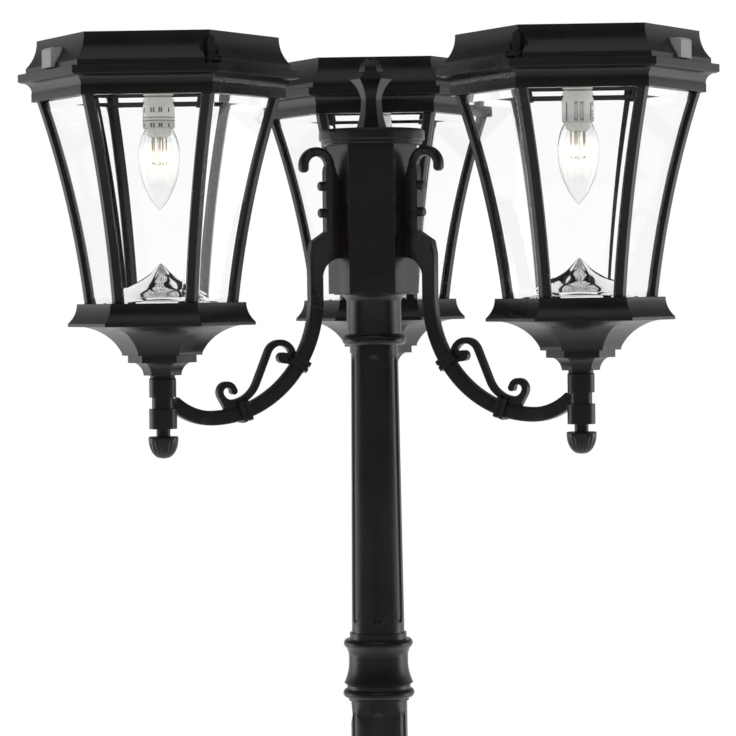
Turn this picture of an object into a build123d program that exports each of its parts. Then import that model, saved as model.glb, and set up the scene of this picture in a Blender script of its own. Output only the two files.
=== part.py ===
from build123d import *
import os
from math import atan2, cos, hypot, radians, sin, sqrt, tan

# A post with three six-sided lanterns on J-shaped arms. Millimetres, +Z up.
# The origin is the centre of the base's underside. The front of the post faces -Y.
# A lantern's outward face looks away from the post.

os.makedirs("parts", exist_ok=True)

# ---------------------------------------------------------------- driving sizes

# Lanterns round the post: name and direction of the arm, in degrees from +X.
lamp_turns = {"left": 210, "right": 330, "rear": 90}
lamp_reach = 228.0  # post axis to lantern axis

slip = 0.15  # radial gap between pieces that slide together when assembled
pin_gap = 0.05  # radial gap of a latch on its pin
thread_gap = 0.3  # radial gap of the bulb's cap in its holder
seat_gap = 0.2  # gap of a pane in its frame
blunt = 0.8  # radius of the flat left at a turned point

# Base casting
base_radius = 125.0
base_plate = 14.0
base_height = 330.0
base_wall = 6.0
bell_radius = 92.0  # foot of the bell
bell_height = 205.0
base_neck_radius = 45.0
base_ring_radius = 52.0
base_ring_height = 22.0
anchor_circle_radius = 107.0
anchor_hole_radius = 6.0
bell_lip = 7.0  # ring under the bell's foot
bell_lip_height = 8.0
bell_sweep = 9.0  # how far the bell's flank bows in
bell_bead = 6.0
base_ring_lift = 30.0  # bell's top to the ring
base_groove = 4.0
base_foot_edge = 2.0
base_plate_edge = 3.0
base_bead_bow = 1.5
base_ring_bow = 2.0
base_mouth = 10.0  # straight band at the top
base_mouth_slope = 6.0
bell_flutes = 12
bell_flute_margin = (34.0, 42.0)  # plain metal below and above a flute
bell_flute_radius = 15.0
bell_flute_depth = 3.0

# Poles, from the bottom up: length that shows, radius at the foot and at the top
lower_pole_length = 580.0
middle_pole_length = 582.0
upper_pole_length = 282.3
lower_pole_foot = 34.5
lower_pole_top = 31.7
middle_pole_foot = 30.0
middle_pole_top = 27.6
upper_pole_foot = 25.8
upper_pole_top = 23.0
pole_wall = 3.0
pole_flutes = 6
flute_radius = 8.0
flute_depth = 2.0
flute_margin = 11.0  # plain pole left above and below a flute
coupler_length = 160.0
coupler_wall = 3.0

# Pole collar: heights of its mouldings from the top down, and how far each stands
# proud of the pole above or below it
collar_top_ring = 6.6
collar_bead = 7.7
collar_swell = 36.0
collar_groove = 5.0
collar_low_ring = 8.3
collar_lip = 3.0
collar_ring_proud = 2.1
collar_bead_proud = 6.1
collar_waist_proud = 3.3
collar_swell_proud = 6.3
collar_low_ring_proud = 7.4
collar_lip_proud = 2.0
collar_groove_proud = 3.6
collar_edge = 1.0
collar_cove = 11.0  # height of the curve under the bead
collar_waist_bow = 1.6
collar_cove_bow = 1.0
collar_bead_bow = 2.0
collar_low_ring_bow = 3.0

# Hub: six-sided box over a neck that takes the upper pole
hub_radius = 44.2  # over the corners
hub_first_side = 30  # a side faces each arm
hub_wall = 4.0
hub_height = 145.2
hub_floor = 6.0
flare_radius = 39.0
flare_height = 7.8
neck_radius = 26.7
neck_height = 31.9
torus_radius = 31.5
torus_height = 10.8
torus_bow = 1.4
flare_bow = 3.0
flare_edge = 1.0
cap_radius = 51.8
cap_low_radius = 49.2
cap_edge_height = 12.0
cap_low_height = 3.9
cap_plug_height = 5.0
cap_edge = 1.0
cap_rise = 0.8  # slope of the top
cap_round = 3.2
cap_round_bow = 0.9
cap_flat = 2.0  # level ring round the finial
stud_radius = 3.0
nut_radius = 5.8  # over the corners
nut_height = 5.0
thread_end = 3.0  # thread left beyond a nut

# Finial: six-sided turned shape, radii over the corners
finial_foot = 14.8
finial_waist = 9.9
finial_flare = 20.6
finial_shoulder = 11.6
finial_waist_height = 29.0
finial_flare_height = 48.2
finial_shoulder_height = 55.6
finial_height = 70.6
finial_foot_height = 1.2
finial_waist_bow = 1.0
finial_flare_bow = 1.6
finial_tip_bow = 2.6

# Arm, in the plane through the post's axis; depths are measured down from the hub's top
arm_thick = 10.0
bar_width = 14.0
bar_standoff = 64.4  # post axis to the bar's straight stretch
bar_straight_end = 149.6
bar_bend_radius = 112.5
bar_rise = 15.7
flange_depth = 14.9
flange_foot = 110.6
step_depth = 84.6
shoulder_depth = 107.0
shoulder_run = 10.0
shoulder_in = 2.5
bar_root = 16.0  # height of the curve that carries the flange's foot into the bar
bar_root_bow = 4.5
flange_corner = 5.0
hook_radius = 14.0
hook_band = 9.0
hook_reach = 61.5
hook_depth = 21.1
hook_tip_turn = 8.0  # degrees past level
hook_root = 17.0
edge_round = 1.6
bolt_depths = (40.6, 66.6)
bolt_radius = 3.0
bolt_head_radius = 4.6
bolt_head_height = 6.0

# Boss, sleeve, stud and acorn nut that carry a lantern
boss_radius = 13.2
boss_height = 19.0
groove_radius = 10.4
groove_height = 10.8
sleeve_radius = 12.8
sleeve_height = 20.9
sleeve_edge = 1.0
sleeve_step = 2.5
lamp_stud_radius = 4.0
lamp_nut_radius = 7.6  # over the corners
acorn_neck_radius = 6.6
acorn_neck_height = 7.3
acorn_radius = 14.2
acorn_height = 21.0
acorn_ribs = 16
acorn_rib_radius = 1.1
acorn_rim = 4.5
acorn_tip_bow = 2.0
acorn_side_bow = 1.4
acorn_edge = 1.0

# Scroll: two curls joined by an S, placed on the bar by distances from the bend's centre
scroll_width = 6.0
scroll_thick = 6.5
clasp_length = 10.5
clasp_wall = 2.4
clasp_groove = 2.2
clasp_turns = (33.5, 72.8)  # degrees down round the bend to each clasp
clasp_inward = 1.5  # shift of a clasp towards the scroll
clasp_round = 2.0
upper_curl = 13.9  # radius of the curl's centre line
upper_curl_turn = 4.0  # degrees round the bend from the clasp to the curl's centre
lower_curl = 7.3
lower_curl_rise = 8.7  # bar to the near side of that curl's centre line
lower_curl_turn = 7.3
lower_curl_ends = (-12.0, 172.0)
scroll_low_turn = 5.8  # clasp to the lowest point of the centre line
scroll_low_rise = 5.1  # bar to that point
stem_length = 33.0  # straight stretch between the curls
stem_lean = 23.4  # degrees off upright
stub_radius = 5.2  # round stub inside the upper curl
stub_reach = 11.5
stub_turn = 3.4
scroll_foot_turn = 8.6  # clasp to the far end of the foot under the lower curl
scroll_foot_lean = 30.0  # degrees below level where the foot leaves the curl
scroll_ball = 3.4

# Lantern: radii are over the corners, heights are added from the foot up
foot_radius = 18.0
foot_cove_radius = 26.0
foot_cove_height = 12.0
foot_cove_bow = 1.8
step_radius = 32.6
step_height = 7.0
pan_cove_radius = 38.2
pan_top_radius = 76.0
pan_cove_height = 27.7
pan_cove_lip = 2.0
pan_cove_bow = 5.5
rim_radius = 89.1
rim_lip = 3.0
rim_top_radius = 80.3
rim_height = 21.5
rim_bow = 2.0
window_height = 191.0
crown_low_radius = 120.4
crown_low_height = 7.0
crown_height = 26.1
brim_radius = 133.0
brim_height = 7.3
brim_inset = 2.2  # brim's edge to the band below it
brim_fillet = 0.8
crown_bow = 3.6
crown_bore_radius = 108.0
pan_wall = 4.5
pan_floor = 3.0  # thickness over the foot's cove
pan_mouth_radius = 34.0

# Mullions and panes; the outer corner of a mullion follows one arc
mullion_top_radius = 115.0
mullion_mid_radius = 90.6
mullion_mid_drop = 88.0  # below the crown
mullion_foot_radius = 73.0
mullion_leg = 7.0
mullion_cap = 2.5
mullion_web = 3.6
mullion_depth = 12.0
pane_thick = 3.0
pane_edge_gap = 0.5

# Reflector
reflector_radius = 55.0
reflector_height = 37.5
reflector_rim = 2.2
reflector_wall = 2.2  # measured upright
cone_radii = (44.0, 20.8, 10.4)
cone_heights = (6.5, 21.0, 28.1)
cone_bow = 0.7

# Lid and what it carries
lid_radius = 125.3
lid_top_radius = 114.6
lid_flange = 5.5
lid_height = 31.4
lid_bow = 2.7
lid_roof = 3.5
panel_radius = 104.0
panel_thick = 2.8
panel_recess = 3.2
window_width = 22.0
window_low = 2.0
window_top = 20.5
window_face = 113.0  # distance of the window's face from the lantern's axis
window_pocket = 97.0
window_slant = 2.0
cover_radius = 100.0
cover_wall = 2.5
cover_drop = 18.0
cover_lip_height = 3.0
cover_lip_rise = 1.0
wire_hole_radius = 4.0
pack_length = 96.0
pack_width = 62.0
pack_height = 30.0
pack_round = 5.0
board_length = 80.0
board_width = 50.0
board_thick = 2.0
board_round = 2.0
socket_flange_radius = 19.3
socket_flange = 3.3
socket_radius = 15.1
socket_length = 31.0
socket_edge = 1.0
socket_edge_height = 3.0
socket_ribs = 20
socket_rib_radius = 0.7

# Candle bulb
bulb_radius = 19.6
bulb_neck_radius = 13.0
bulb_cap_radius = 10.4
bulb_cap_length = 24.0
bulb_cap_taper = 4.0
bulb_contact_radius = 4.0
bulb_collar = 0.6  # straight neck left below the cup
bulb_wall = 1.2
bulb_vent = 1.0  # hole in the middle of the cap's end
bulb_length = 82.5
bulb_belly = 31.0  # neck down to the widest place
bulb_point_radius = 11.4  # where the point's curve meets the side's
bulb_point_height = 15.0
bulb_point_bow = 1.2
bulb_side_bow = 2.2
bulb_top_bow = 1.7
bulb_seat = 6.0  # how far the neck goes up into the holder's cup

# Latches on the brim, at the corners a quarter turn from the outward face
notch_width = 18.6
notch_floor = 112.6
notch_top = 26.5
notch_low_width = 14.4  # narrower behind the hinge
notch_step = 11.5
latch_width = 7.4
latch_thick = 4.0
latch_face = 114.6
latch_height = 25.0
latch_foot = 7.0
latch_tip_flat = 0.4
knuckle_radius = 4.0
knuckle_width = 7.6
knuckle_lift = 4.5
knuckle_place = 124.0
lug_gap = 0.3
lug_width = 2.2
pin_radius = 1.6
pin_head = 0.4

# ---------------------------------------------------------------- worked-out places

flat = cos(radians(30))  # distance to a side for one unit to a corner of a six-sided shape

collar_height = (collar_top_ring + collar_bead + collar_swell + collar_groove
                 + collar_low_ring + collar_lip)
lower_joint = base_height + lower_pole_length + collar_height / 2
middle_start = lower_joint + collar_height / 2
upper_joint = middle_start + middle_pole_length + collar_height / 2
upper_start = upper_joint + collar_height / 2
neck_bottom = upper_start + upper_pole_length
hub_bottom = neck_bottom + torus_height + neck_height + flare_height
hub_top = hub_bottom + hub_height
cap_top = hub_top + cap_low_height + cap_edge_height

hub_side = hub_radius * flat
flange_face = hub_side + flange_depth
bar_low = bar_straight_end + bar_bend_radius
bar_inner = bar_standoff - bar_width / 2
bar_outer = bar_standoff + bar_width / 2
boss_top = -bar_low + bar_rise + 0.4 * bar_width
boss_bottom = boss_top - groove_height - boss_height
lamp_foot = hub_top + boss_top + sleeve_height

step_bottom = foot_cove_height
pan_floor_height = step_bottom + pan_floor
pan_cove_bottom = step_bottom + step_height
rim_bottom = pan_cove_bottom + pan_cove_height
rim_top = rim_bottom + rim_height
crown_bottom = rim_top + window_height
brim_top = crown_bottom + crown_height
lid_top = brim_top + lid_height
socket_top = brim_top - cover_drop
bulb_neck = socket_top - socket_flange - socket_length + bulb_seat
cavity_top = brim_top + lid_height - panel_recess - lid_roof
cavity_radius = crown_bore_radius

lamp_places = {
    name: Location((lamp_reach * cos(radians(turn)), lamp_reach * sin(radians(turn)), lamp_foot),
                   (0, 0, turn))
    for name, turn in lamp_turns.items()
}
arm_places = {name: Location((0, 0, hub_top), (0, 0, turn)) for name, turn in lamp_turns.items()}


# ---------------------------------------------------------------- helpers

def upright(turn):
    """Upright plane through the Z axis whose X axis points to the given turn in degrees."""
    a = radians(turn)
    return Plane(origin=(0, 0, 0), x_dir=(cos(a), sin(a), 0), z_dir=(sin(a), -cos(a), 0))


def bowed(start, end, bow):
    """Arc from start to end whose middle lies bow nearer the axis than the chord."""
    run, rise = end[0] - start[0], end[1] - start[1]
    length = hypot(run, rise)
    side = -1 if rise > 0 else 1
    middle = ((start[0] + end[0]) / 2 + side * bow * rise / length,
              (start[1] + end[1]) / 2 - side * bow * run / length)
    ThreePointArc(start, middle, end)


def half_outline(corners, squeeze):
    """Closed outline from the axis round (radius, height) corners and back to the axis.

    A third number in a corner bows the stretch that leads to it towards the axis.
    """
    points = [(corner[0] * squeeze, corner[1]) for corner in corners]
    Line((0, points[0][1]), points[0])
    for i in range(1, len(points)):
        if len(corners[i]) == 3:
            bowed(points[i - 1], points[i], corners[i][2])
        else:
            Line(points[i - 1], points[i])
    Line(points[-1], (0, points[-1][1]))
    Line((0, points[-1][1]), (0, points[0][1]))


def turned(corners):
    """Round solid with the given outline."""
    with BuildPart() as body:
        with BuildSketch(Plane.XZ):
            with BuildLine():
                half_outline(corners, 1.0)
            make_face()
        revolve(axis=Axis.Z)
    return body.part


def six_sided(corners, first_side=0):
    """Six-sided solid whose corners follow the outline, its sides a sixth of a turn apart."""
    reach = 2 * max(corner[0] for corner in corners)
    with BuildPart() as body:
        for turn in (0, 60, 120):
            with BuildSketch(upright(turn + first_side)):
                with BuildLine():
                    half_outline(corners, flat)
                make_face()
                mirror(about=Plane.YZ)
            extrude(amount=reach, both=True, mode=Mode.INTERSECT if turn else Mode.ADD)
    return body.part


def hexagon_post(radius, low, high, first_side=0):
    """Straight six-sided solid between two heights."""
    with BuildPart() as body:
        with BuildSketch(Plane.XY.offset(low)):
            RegularPolygon(radius, 6, rotation=first_side + 30)
        extrude(amount=high - low)
    return body.part


def scoop(foot, foot_z, top, top_z, cutter_radius, depth):
    """Round-ended cutter along a wall that tapers from the foot radius to the top radius."""
    lean = atan2(foot - top, top_z - foot_z)
    out = cutter_radius - depth
    low = (foot + out * cos(lean), foot_z + out * sin(lean))
    high = (top + out * cos(lean), top_z + out * sin(lean))
    along = (high[0] - low[0], high[1] - low[1])
    length = hypot(*along)
    unit = (along[0] / length, along[1] / length)
    inward = (-unit[1], unit[0])
    half = sqrt(0.5) * cutter_radius

    def at(distance, aside):
        return (low[0] + unit[0] * distance + inward[0] * aside,
                low[1] + unit[1] * distance + inward[1] * aside)

    with BuildPart() as cutter:
        with BuildSketch(Plane.XZ):
            with BuildLine():
                Line(at(-cutter_radius, 0), at(length + cutter_radius, 0))
                ThreePointArc(at(length + cutter_radius, 0), at(length + half, half),
                              at(length, cutter_radius))
                Line(at(length, cutter_radius), at(0, cutter_radius))
                ThreePointArc(at(0, cutter_radius), at(-half, half), at(-cutter_radius, 0))
            make_face()
        revolve(axis=Axis((low[0], 0, low[1]), (unit[0], 0, unit[1])))
    return cutter.part


def write(part, name):
    """Label a piece and write it to its own file."""
    part.label = name
    export_step(part, f"parts/{name}.step")


def write_each(part, places, kind):
    """Write one copy of a piece for each lantern or arm."""
    for side, place in places.items():
        write(part.moved(place), f"{side}_{kind}")


def write_together(part, places, name):
    """Write the copies of a small piece as separate solids of one node."""
    with BuildPart() as group:
        with Locations(*places.values()):
            add(part)
    write(group.part, name)


# ---------------------------------------------------------------- post

def make_base():
    """Fluted bell on a round plate, open at the top for the lower pole."""
    bell_foot_z = base_plate + bell_lip_height
    bell_top_z = base_plate + bell_height
    ring_z = bell_top_z + base_ring_lift
    bead_top_z = bell_top_z + 2 * bell_bead
    outline = [
        (base_radius - base_foot_edge, 0), (base_radius, base_foot_edge),
        (base_radius, base_plate - base_plate_edge), (base_radius - base_plate_edge, base_plate),
        (bell_radius + bell_lip, base_plate),
        (bell_radius + bell_lip, bell_foot_z - base_plate_edge), (bell_radius, bell_foot_z),
        (base_neck_radius, bell_top_z, bell_sweep),
        (base_neck_radius + bell_bead, bell_top_z + bell_bead, -base_bead_bow),
        (base_neck_radius, bead_top_z, -base_bead_bow), (base_neck_radius, ring_z),
        (base_ring_radius, ring_z + base_ring_height / 2, -base_ring_bow),
        (base_neck_radius, ring_z + base_ring_height, -base_ring_bow),
        (base_neck_radius - base_groove, base_height - base_mouth - base_mouth_slope),
        (base_neck_radius, base_height - base_mouth),
        (base_neck_radius, base_height),
    ]
    hollow = [
        (bell_radius - base_wall, base_plate), (bell_radius - base_wall, bell_foot_z),
        (base_neck_radius - base_wall, bell_top_z, bell_sweep),
        (base_neck_radius - base_wall, bead_top_z),
    ]
    with BuildPart() as base:
        add(turned(outline))
        add(turned(hollow), mode=Mode.SUBTRACT)
        with BuildSketch(Plane.XY.offset(base_plate)):
            Circle(lower_pole_foot + slip)
        extrude(amount=base_height, mode=Mode.SUBTRACT)
        with PolarLocations(anchor_circle_radius, 4, start_angle=45):
            with Locations((0, 0, base_plate)):
                Hole(anchor_hole_radius, depth=base_plate)
        plain_below, plain_above = bell_flute_margin
        groove = scoop(bell_radius - bell_flute_radius, bell_foot_z + plain_below,
                       base_neck_radius + base_groove, bell_top_z - plain_above,
                       bell_flute_radius, bell_flute_depth)
        with PolarLocations(0, bell_flutes, start_angle=15):
            add(groove, mode=Mode.SUBTRACT)
    return base.part


def make_pole(low, high, show_low, show_high, foot, top):
    """Tapered fluted tube; its ends inside the collars are straight."""
    bore = top - pole_wall
    with BuildPart() as pole:
        add(turned([(foot, low), (foot, show_low), (top, show_high), (top, high)]))
        with BuildSketch(Plane.XY.offset(low)):
            Circle(bore)
        extrude(amount=high - low, mode=Mode.SUBTRACT)
        end = flute_margin + flute_radius / 2
        groove = scoop(foot, show_low + end, top, show_high - end, flute_radius, flute_depth)
        with PolarLocations(0, pole_flutes, start_angle=30):
            add(groove, mode=Mode.SUBTRACT)
    return pole.part


def make_collar(joint, below, above):
    """Turned moulding over a joint, stepped inside for the two pole radii."""
    low, high = joint - collar_height / 2, joint + collar_height / 2
    low_ring = low + collar_lip
    groove = low_ring + collar_low_ring
    swell = groove + collar_groove
    bead = swell + collar_swell
    outline = [
        (below + collar_lip_proud, low), (below + collar_lip_proud, low_ring),
        (below + collar_low_ring_proud - collar_low_ring_bow, low_ring),
        (below + collar_low_ring_proud - collar_low_ring_bow, groove, -collar_low_ring_bow),
        (below + collar_groove_proud, groove),
        (below + collar_groove_proud, swell - collar_edge),
        (below + collar_swell_proud, swell + collar_edge),
        (above + collar_waist_proud, bead - collar_cove, collar_waist_bow),
        (above + collar_bead_proud, bead, collar_cove_bow),
        (above + collar_bead_proud, bead + collar_bead, -collar_bead_bow),
        (above + collar_ring_proud, bead + collar_bead),
        (above + collar_ring_proud, high),
    ]
    with BuildPart() as collar:
        add(turned(outline))
        with BuildSketch(Plane.XY.offset(low)):
            Circle(below + slip)
        extrude(amount=joint - low, mode=Mode.SUBTRACT)
        with BuildSketch(Plane.XY.offset(joint)):
            Circle(above + slip)
        extrude(amount=high - joint, mode=Mode.SUBTRACT)
    return collar.part


def make_coupler(middle, below, above):
    """Stepped sleeve inside a joint, as long below as above."""
    low, high = middle - coupler_length / 2, middle + coupler_length / 2
    with BuildPart() as coupler:
        add(turned([(below - pole_wall - slip, low), (below - pole_wall - slip, middle),
                    (above - pole_wall - slip, middle), (above - pole_wall - slip, high)]))
        with BuildSketch(Plane.XY.offset(low)):
            Circle(above - pole_wall - slip - coupler_wall)
        extrude(amount=coupler_length, mode=Mode.SUBTRACT)
    return coupler.part


def make_hub():
    """Six-sided box with a flare, neck and ring below it in one casting."""
    flare_top = hub_bottom
    neck_top = flare_top - flare_height
    torus_top = neck_bottom + torus_height
    with BuildPart() as hub:
        add(hexagon_post(hub_radius, hub_bottom, hub_top, hub_first_side))
        add(turned([
            (neck_radius, neck_bottom),
            (torus_radius, neck_bottom + torus_height / 2, -torus_bow),
            (neck_radius, torus_top, -torus_bow), (neck_radius, neck_top),
            (flare_radius, flare_top - flare_edge, flare_bow),
            (flare_radius, flare_top + flare_edge),
        ]))
        add(hexagon_post(hub_radius - hub_wall, hub_bottom + hub_floor, hub_top,
                         hub_first_side), mode=Mode.SUBTRACT)
        with BuildSketch(Plane.XY.offset(neck_bottom)):
            Circle(upper_pole_top + slip)
        extrude(amount=neck_height + torus_height, mode=Mode.SUBTRACT)
        for turn in lamp_turns.values():
            with Locations(*[hub_bolt_place(turn, depth) for depth in bolt_depths]):
                Cylinder(bolt_radius + slip, 3 * hub_wall, mode=Mode.SUBTRACT)
    return hub.part


def hub_bolt_place(turn, depth):
    """Place on the hub's wall, Z outward, where an arm bolt passes."""
    a = radians(turn)
    return Location(Plane(origin=(hub_side * cos(a), hub_side * sin(a), hub_top - depth),
                          z_dir=(cos(a), sin(a), 0)))


def make_cap():
    """Round stepped lid with a plug that drops into the hub."""
    edge = hub_top + cap_low_height
    with BuildPart() as cap:
        add(turned([
            (cap_low_radius - cap_edge, hub_top), (cap_low_radius, hub_top + cap_edge),
            (cap_low_radius, edge), (cap_radius - cap_edge, edge),
            (cap_radius, edge + cap_edge), (cap_radius, cap_top - cap_rise - cap_round),
            (cap_radius - cap_round, cap_top - cap_rise, -cap_round_bow),
            (finial_foot + cap_flat, cap_top),
        ]))
        add(hexagon_post(hub_radius - hub_wall - 2 * slip, hub_top - cap_plug_height, hub_top,
                         hub_first_side))
        with BuildSketch(Plane.XY.offset(hub_top - cap_plug_height)):
            Circle(stud_radius + slip)
        extrude(amount=cap_top, mode=Mode.SUBTRACT)
    return cap.part


def make_finial():
    """Six-sided spire with a waist, a flare and a domed tip."""
    with BuildPart() as finial:
        add(six_sided([
            (finial_foot, cap_top), (finial_foot, cap_top + finial_foot_height),
            (finial_waist, cap_top + finial_waist_height, finial_waist_bow),
            (finial_flare, cap_top + finial_flare_height, finial_flare_bow),
            (finial_shoulder, cap_top + finial_shoulder_height),
            (blunt, cap_top + finial_height, -finial_tip_bow),
        ], hub_first_side))
        with BuildSketch(Plane.XY.offset(cap_top)):
            Circle(stud_radius + slip)
        extrude(amount=finial_waist_height, mode=Mode.SUBTRACT)
    return finial.part


def make_finial_stud():
    """Stud from the finial down through the cap, with its nut under the cap's plug."""
    low = hub_top - cap_plug_height - nut_height - thread_end
    with BuildPart() as stud:
        with BuildSketch(Plane.XY.offset(low)):
            Circle(stud_radius)
        extrude(amount=cap_top + finial_waist_height - 1 - low)
        with BuildSketch(Plane.XY.offset(hub_top - cap_plug_height - nut_height)):
            RegularPolygon(nut_radius, 6)
        extrude(amount=nut_height)
    return stud.part


def make_arm_bolt():
    """Round-headed bolt along +X from the flange into the hub, with its nut."""
    inside = hub_side - hub_wall * flat
    outward = Plane.YZ
    with BuildPart() as bolt:
        with BuildSketch(outward.offset(inside - nut_height - thread_end)):
            Circle(bolt_radius)
        extrude(amount=flange_face - inside + nut_height + thread_end)
        with BuildSketch(outward.offset(inside - nut_height)):
            RegularPolygon(nut_radius, 6)
        extrude(amount=nut_height)
        with BuildSketch(outward.offset(flange_face)):
            Circle(bolt_head_radius)
        extrude(amount=bolt_head_height)
        rim = bolt.edges().filter_by(GeomType.CIRCLE).sort_by(Axis.X)[-1]
        fillet(rim, bolt_head_radius * 0.4)
    return bolt.part


# ---------------------------------------------------------------- arms

def bend_point(turn, radius):
    """Point of the bar's bend, turn degrees down from level, in the arm's plane."""
    a = radians(turn)
    return (bar_standoff + bar_bend_radius - radius * cos(a), -bar_straight_end - radius * sin(a))


def bar_line():
    """Centre line of the bar from its shoulder round the bend and up to the boss."""
    lowest = bend_point(90, bar_bend_radius)
    boss_wall = lamp_reach - groove_radius
    Line((bar_standoff, -shoulder_depth), (bar_standoff, -bar_straight_end))
    ThreePointArc((bar_standoff, -bar_straight_end), bend_point(45, bar_bend_radius), lowest)
    TangentArc(lowest, (boss_wall, lowest[1] + bar_rise), tangent=(1, 0))


def make_bar():
    """The bar alone: a rounded oblong carried along its centre line."""
    with BuildPart() as bar:
        with BuildLine(Plane.XZ) as centre:
            bar_line()
        start = Plane(origin=(bar_standoff, 0, -shoulder_depth), x_dir=(0, 1, 0), z_dir=(0, 0, -1))
        with BuildSketch(start):
            RectangleRounded(arm_thick, bar_width, edge_round)
        sweep(path=centre.line)
    return bar.part


def make_hook():
    """Round-edged band that curls over from the flange's top and ends in a rounded tip."""
    left = hook_reach - hook_radius
    tip = radians(hook_tip_turn)
    tip_x, tip_z = hook_reach + hook_radius * cos(tip), -hook_depth - hook_radius * sin(tip)
    with BuildPart() as hook:
        with BuildSketch(Plane.XZ.offset(-arm_thick / 2)):
            with Locations(Location((tip_x, tip_z, 0), (0, 0, 90))):
                Circle(hook_band / 2)
        extrude(amount=arm_thick)
        fillet(hook.edges().filter_by(GeomType.CIRCLE), 2 * edge_round)
        with BuildLine(Plane.XZ) as centre:
            ThreePointArc((left, -hook_depth), (hook_reach, -hook_depth + hook_radius),
                          (tip_x, tip_z))
        start = Plane(origin=(left, 0, -hook_depth), x_dir=(0, 1, 0), z_dir=(0, 0, 1))
        with BuildSketch(start):
            RectangleRounded(arm_thick, hook_band, 2 * edge_round)
        sweep(path=centre.line)
    return hook.part


def make_arm():
    """Hook, flange, bar and boss in one casting, along +X from the hub's side."""
    left = hook_reach - hook_radius
    root_end = -flange_foot - bar_root
    with BuildPart() as arm:
        with BuildSketch(Plane.XZ):
            with BuildLine():
                Polyline((hub_side, -flange_foot), (hub_side, -hook_depth - hook_root),
                         (left - hook_band / 2, -hook_depth), (left + hook_band / 2, -hook_depth),
                         (flange_face, -hook_depth - flange_corner), (flange_face, -step_depth),
                         (bar_outer - shoulder_in, -step_depth - shoulder_run),
                         (bar_outer, -shoulder_depth), (bar_outer, root_end),
                         (bar_inner, root_end))
                bowed((bar_inner, root_end), (hub_side, -flange_foot), -bar_root_bow)
            make_face()
        extrude(amount=arm_thick / 2, both=True)
        rims = [edge for edge in arm.edges()
                if abs(abs(edge.center().Y) - arm_thick / 2) < 0.01
                and edge.center().X > hub_side + 1]
        chamfer(rims, edge_round * 0.6)
        add(make_bar())
        add(make_hook())
        lamp_axis = Plane(origin=(lamp_reach, 0, boss_bottom))
        with BuildSketch(lamp_axis):
            Circle(boss_radius)
        extrude(amount=boss_height)
        with BuildSketch(lamp_axis.offset(boss_height)):
            Circle(groove_radius)
        extrude(amount=groove_height)
        with BuildSketch(lamp_axis):
            Circle(lamp_stud_radius + slip)
        extrude(amount=boss_height + groove_height, mode=Mode.SUBTRACT)
        for depth in bolt_depths:
            with Locations(Location(Plane(origin=(hub_side, 0, -depth), z_dir=(1, 0, 0)))):
                Cylinder(bolt_radius + slip, 3 * flange_depth, mode=Mode.SUBTRACT)
    return arm.part


def make_scroll(bar):
    """S ornament on the inside of the bend, with a double clasp at each end."""
    clasp_a, clasp_b = clasp_turns
    inner = bar_bend_radius - bar_width / 2
    top_curl = bend_point(clasp_a + upper_curl_turn, inner - upper_curl)
    low_curl = bend_point(clasp_b + lower_curl_turn, inner - lower_curl_rise - lower_curl)
    lowest = bend_point(clasp_b + scroll_low_turn, inner - scroll_low_rise)
    stub = bend_point(clasp_a + stub_turn, inner - stub_reach)
    clasp_deep = bar_width + 2 * clasp_inward
    ring = (clasp_length - clasp_groove) / 2
    fall = (sin(radians(stem_lean)), -cos(radians(stem_lean)))

    def about(centre, radius, turn):
        a = radians(turn)
        return (centre[0] + radius * cos(a), centre[1] + radius * sin(a))

    shoulder = about(top_curl, upper_curl, stem_lean)
    stem_end = (shoulder[0] + stem_length * fall[0], shoulder[1] + stem_length * fall[1])
    low_start, low_end = lower_curl_ends
    with BuildPart() as scroll:
        with BuildSketch(Plane.XZ):
            with BuildLine() as curl:
                ThreePointArc(about(top_curl, upper_curl, 180 + clasp_a / 2),
                              about(top_curl, upper_curl, 90), shoulder)
                Line(shoulder, stem_end)
                dip = TangentArc(stem_end, lowest, tangent=fall)
                TangentArc(lowest, about(low_curl, lower_curl, low_start), tangent=dip % 1)
                ThreePointArc(about(low_curl, lower_curl, low_start),
                              about(low_curl, lower_curl, (low_start + low_end) / 2),
                              about(low_curl, lower_curl, low_end))
            trace(curl.line, scroll_width)
            with Locations(about(low_curl, lower_curl, low_end)):
                Circle(scroll_ball)
            with BuildLine() as stub_line:
                Line(bend_point(clasp_a, inner), stub)
            trace(stub_line.line, 2 * stub_radius)
            with Locations(stub):
                Circle(stub_radius)
            with BuildLine():
                Polyline(about(low_curl, lower_curl + scroll_width / 2, -scroll_foot_lean),
                         bend_point(clasp_b + scroll_foot_turn, bar_bend_radius),
                         bend_point(clasp_b, bar_bend_radius),
                         bend_point(clasp_b, inner - scroll_width / 2), close=True)
            make_face()
        extrude(amount=scroll_thick / 2, both=True)
        for turn in clasp_turns:
            middle = bend_point(turn, bar_bend_radius - clasp_inward)
            flatwise = Plane(origin=(middle[0], 0, middle[1]), x_dir=(0, 1, 0),
                             z_dir=(sin(radians(turn)), 0, -cos(radians(turn))))
            for shift in (-1, 1):
                with BuildSketch(flatwise.offset(shift * (clasp_groove + ring) / 2 - ring / 2)):
                    RectangleRounded(arm_thick + 2 * clasp_wall, clasp_deep + 2 * clasp_wall,
                                     clasp_round)
                extrude(amount=ring)
            with BuildSketch(flatwise.offset(-clasp_groove / 2)):
                RectangleRounded(arm_thick + clasp_wall, clasp_deep + clasp_wall, clasp_round / 2)
            extrude(amount=clasp_groove)
        add(bar, mode=Mode.SUBTRACT)
    return scroll.part


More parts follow.
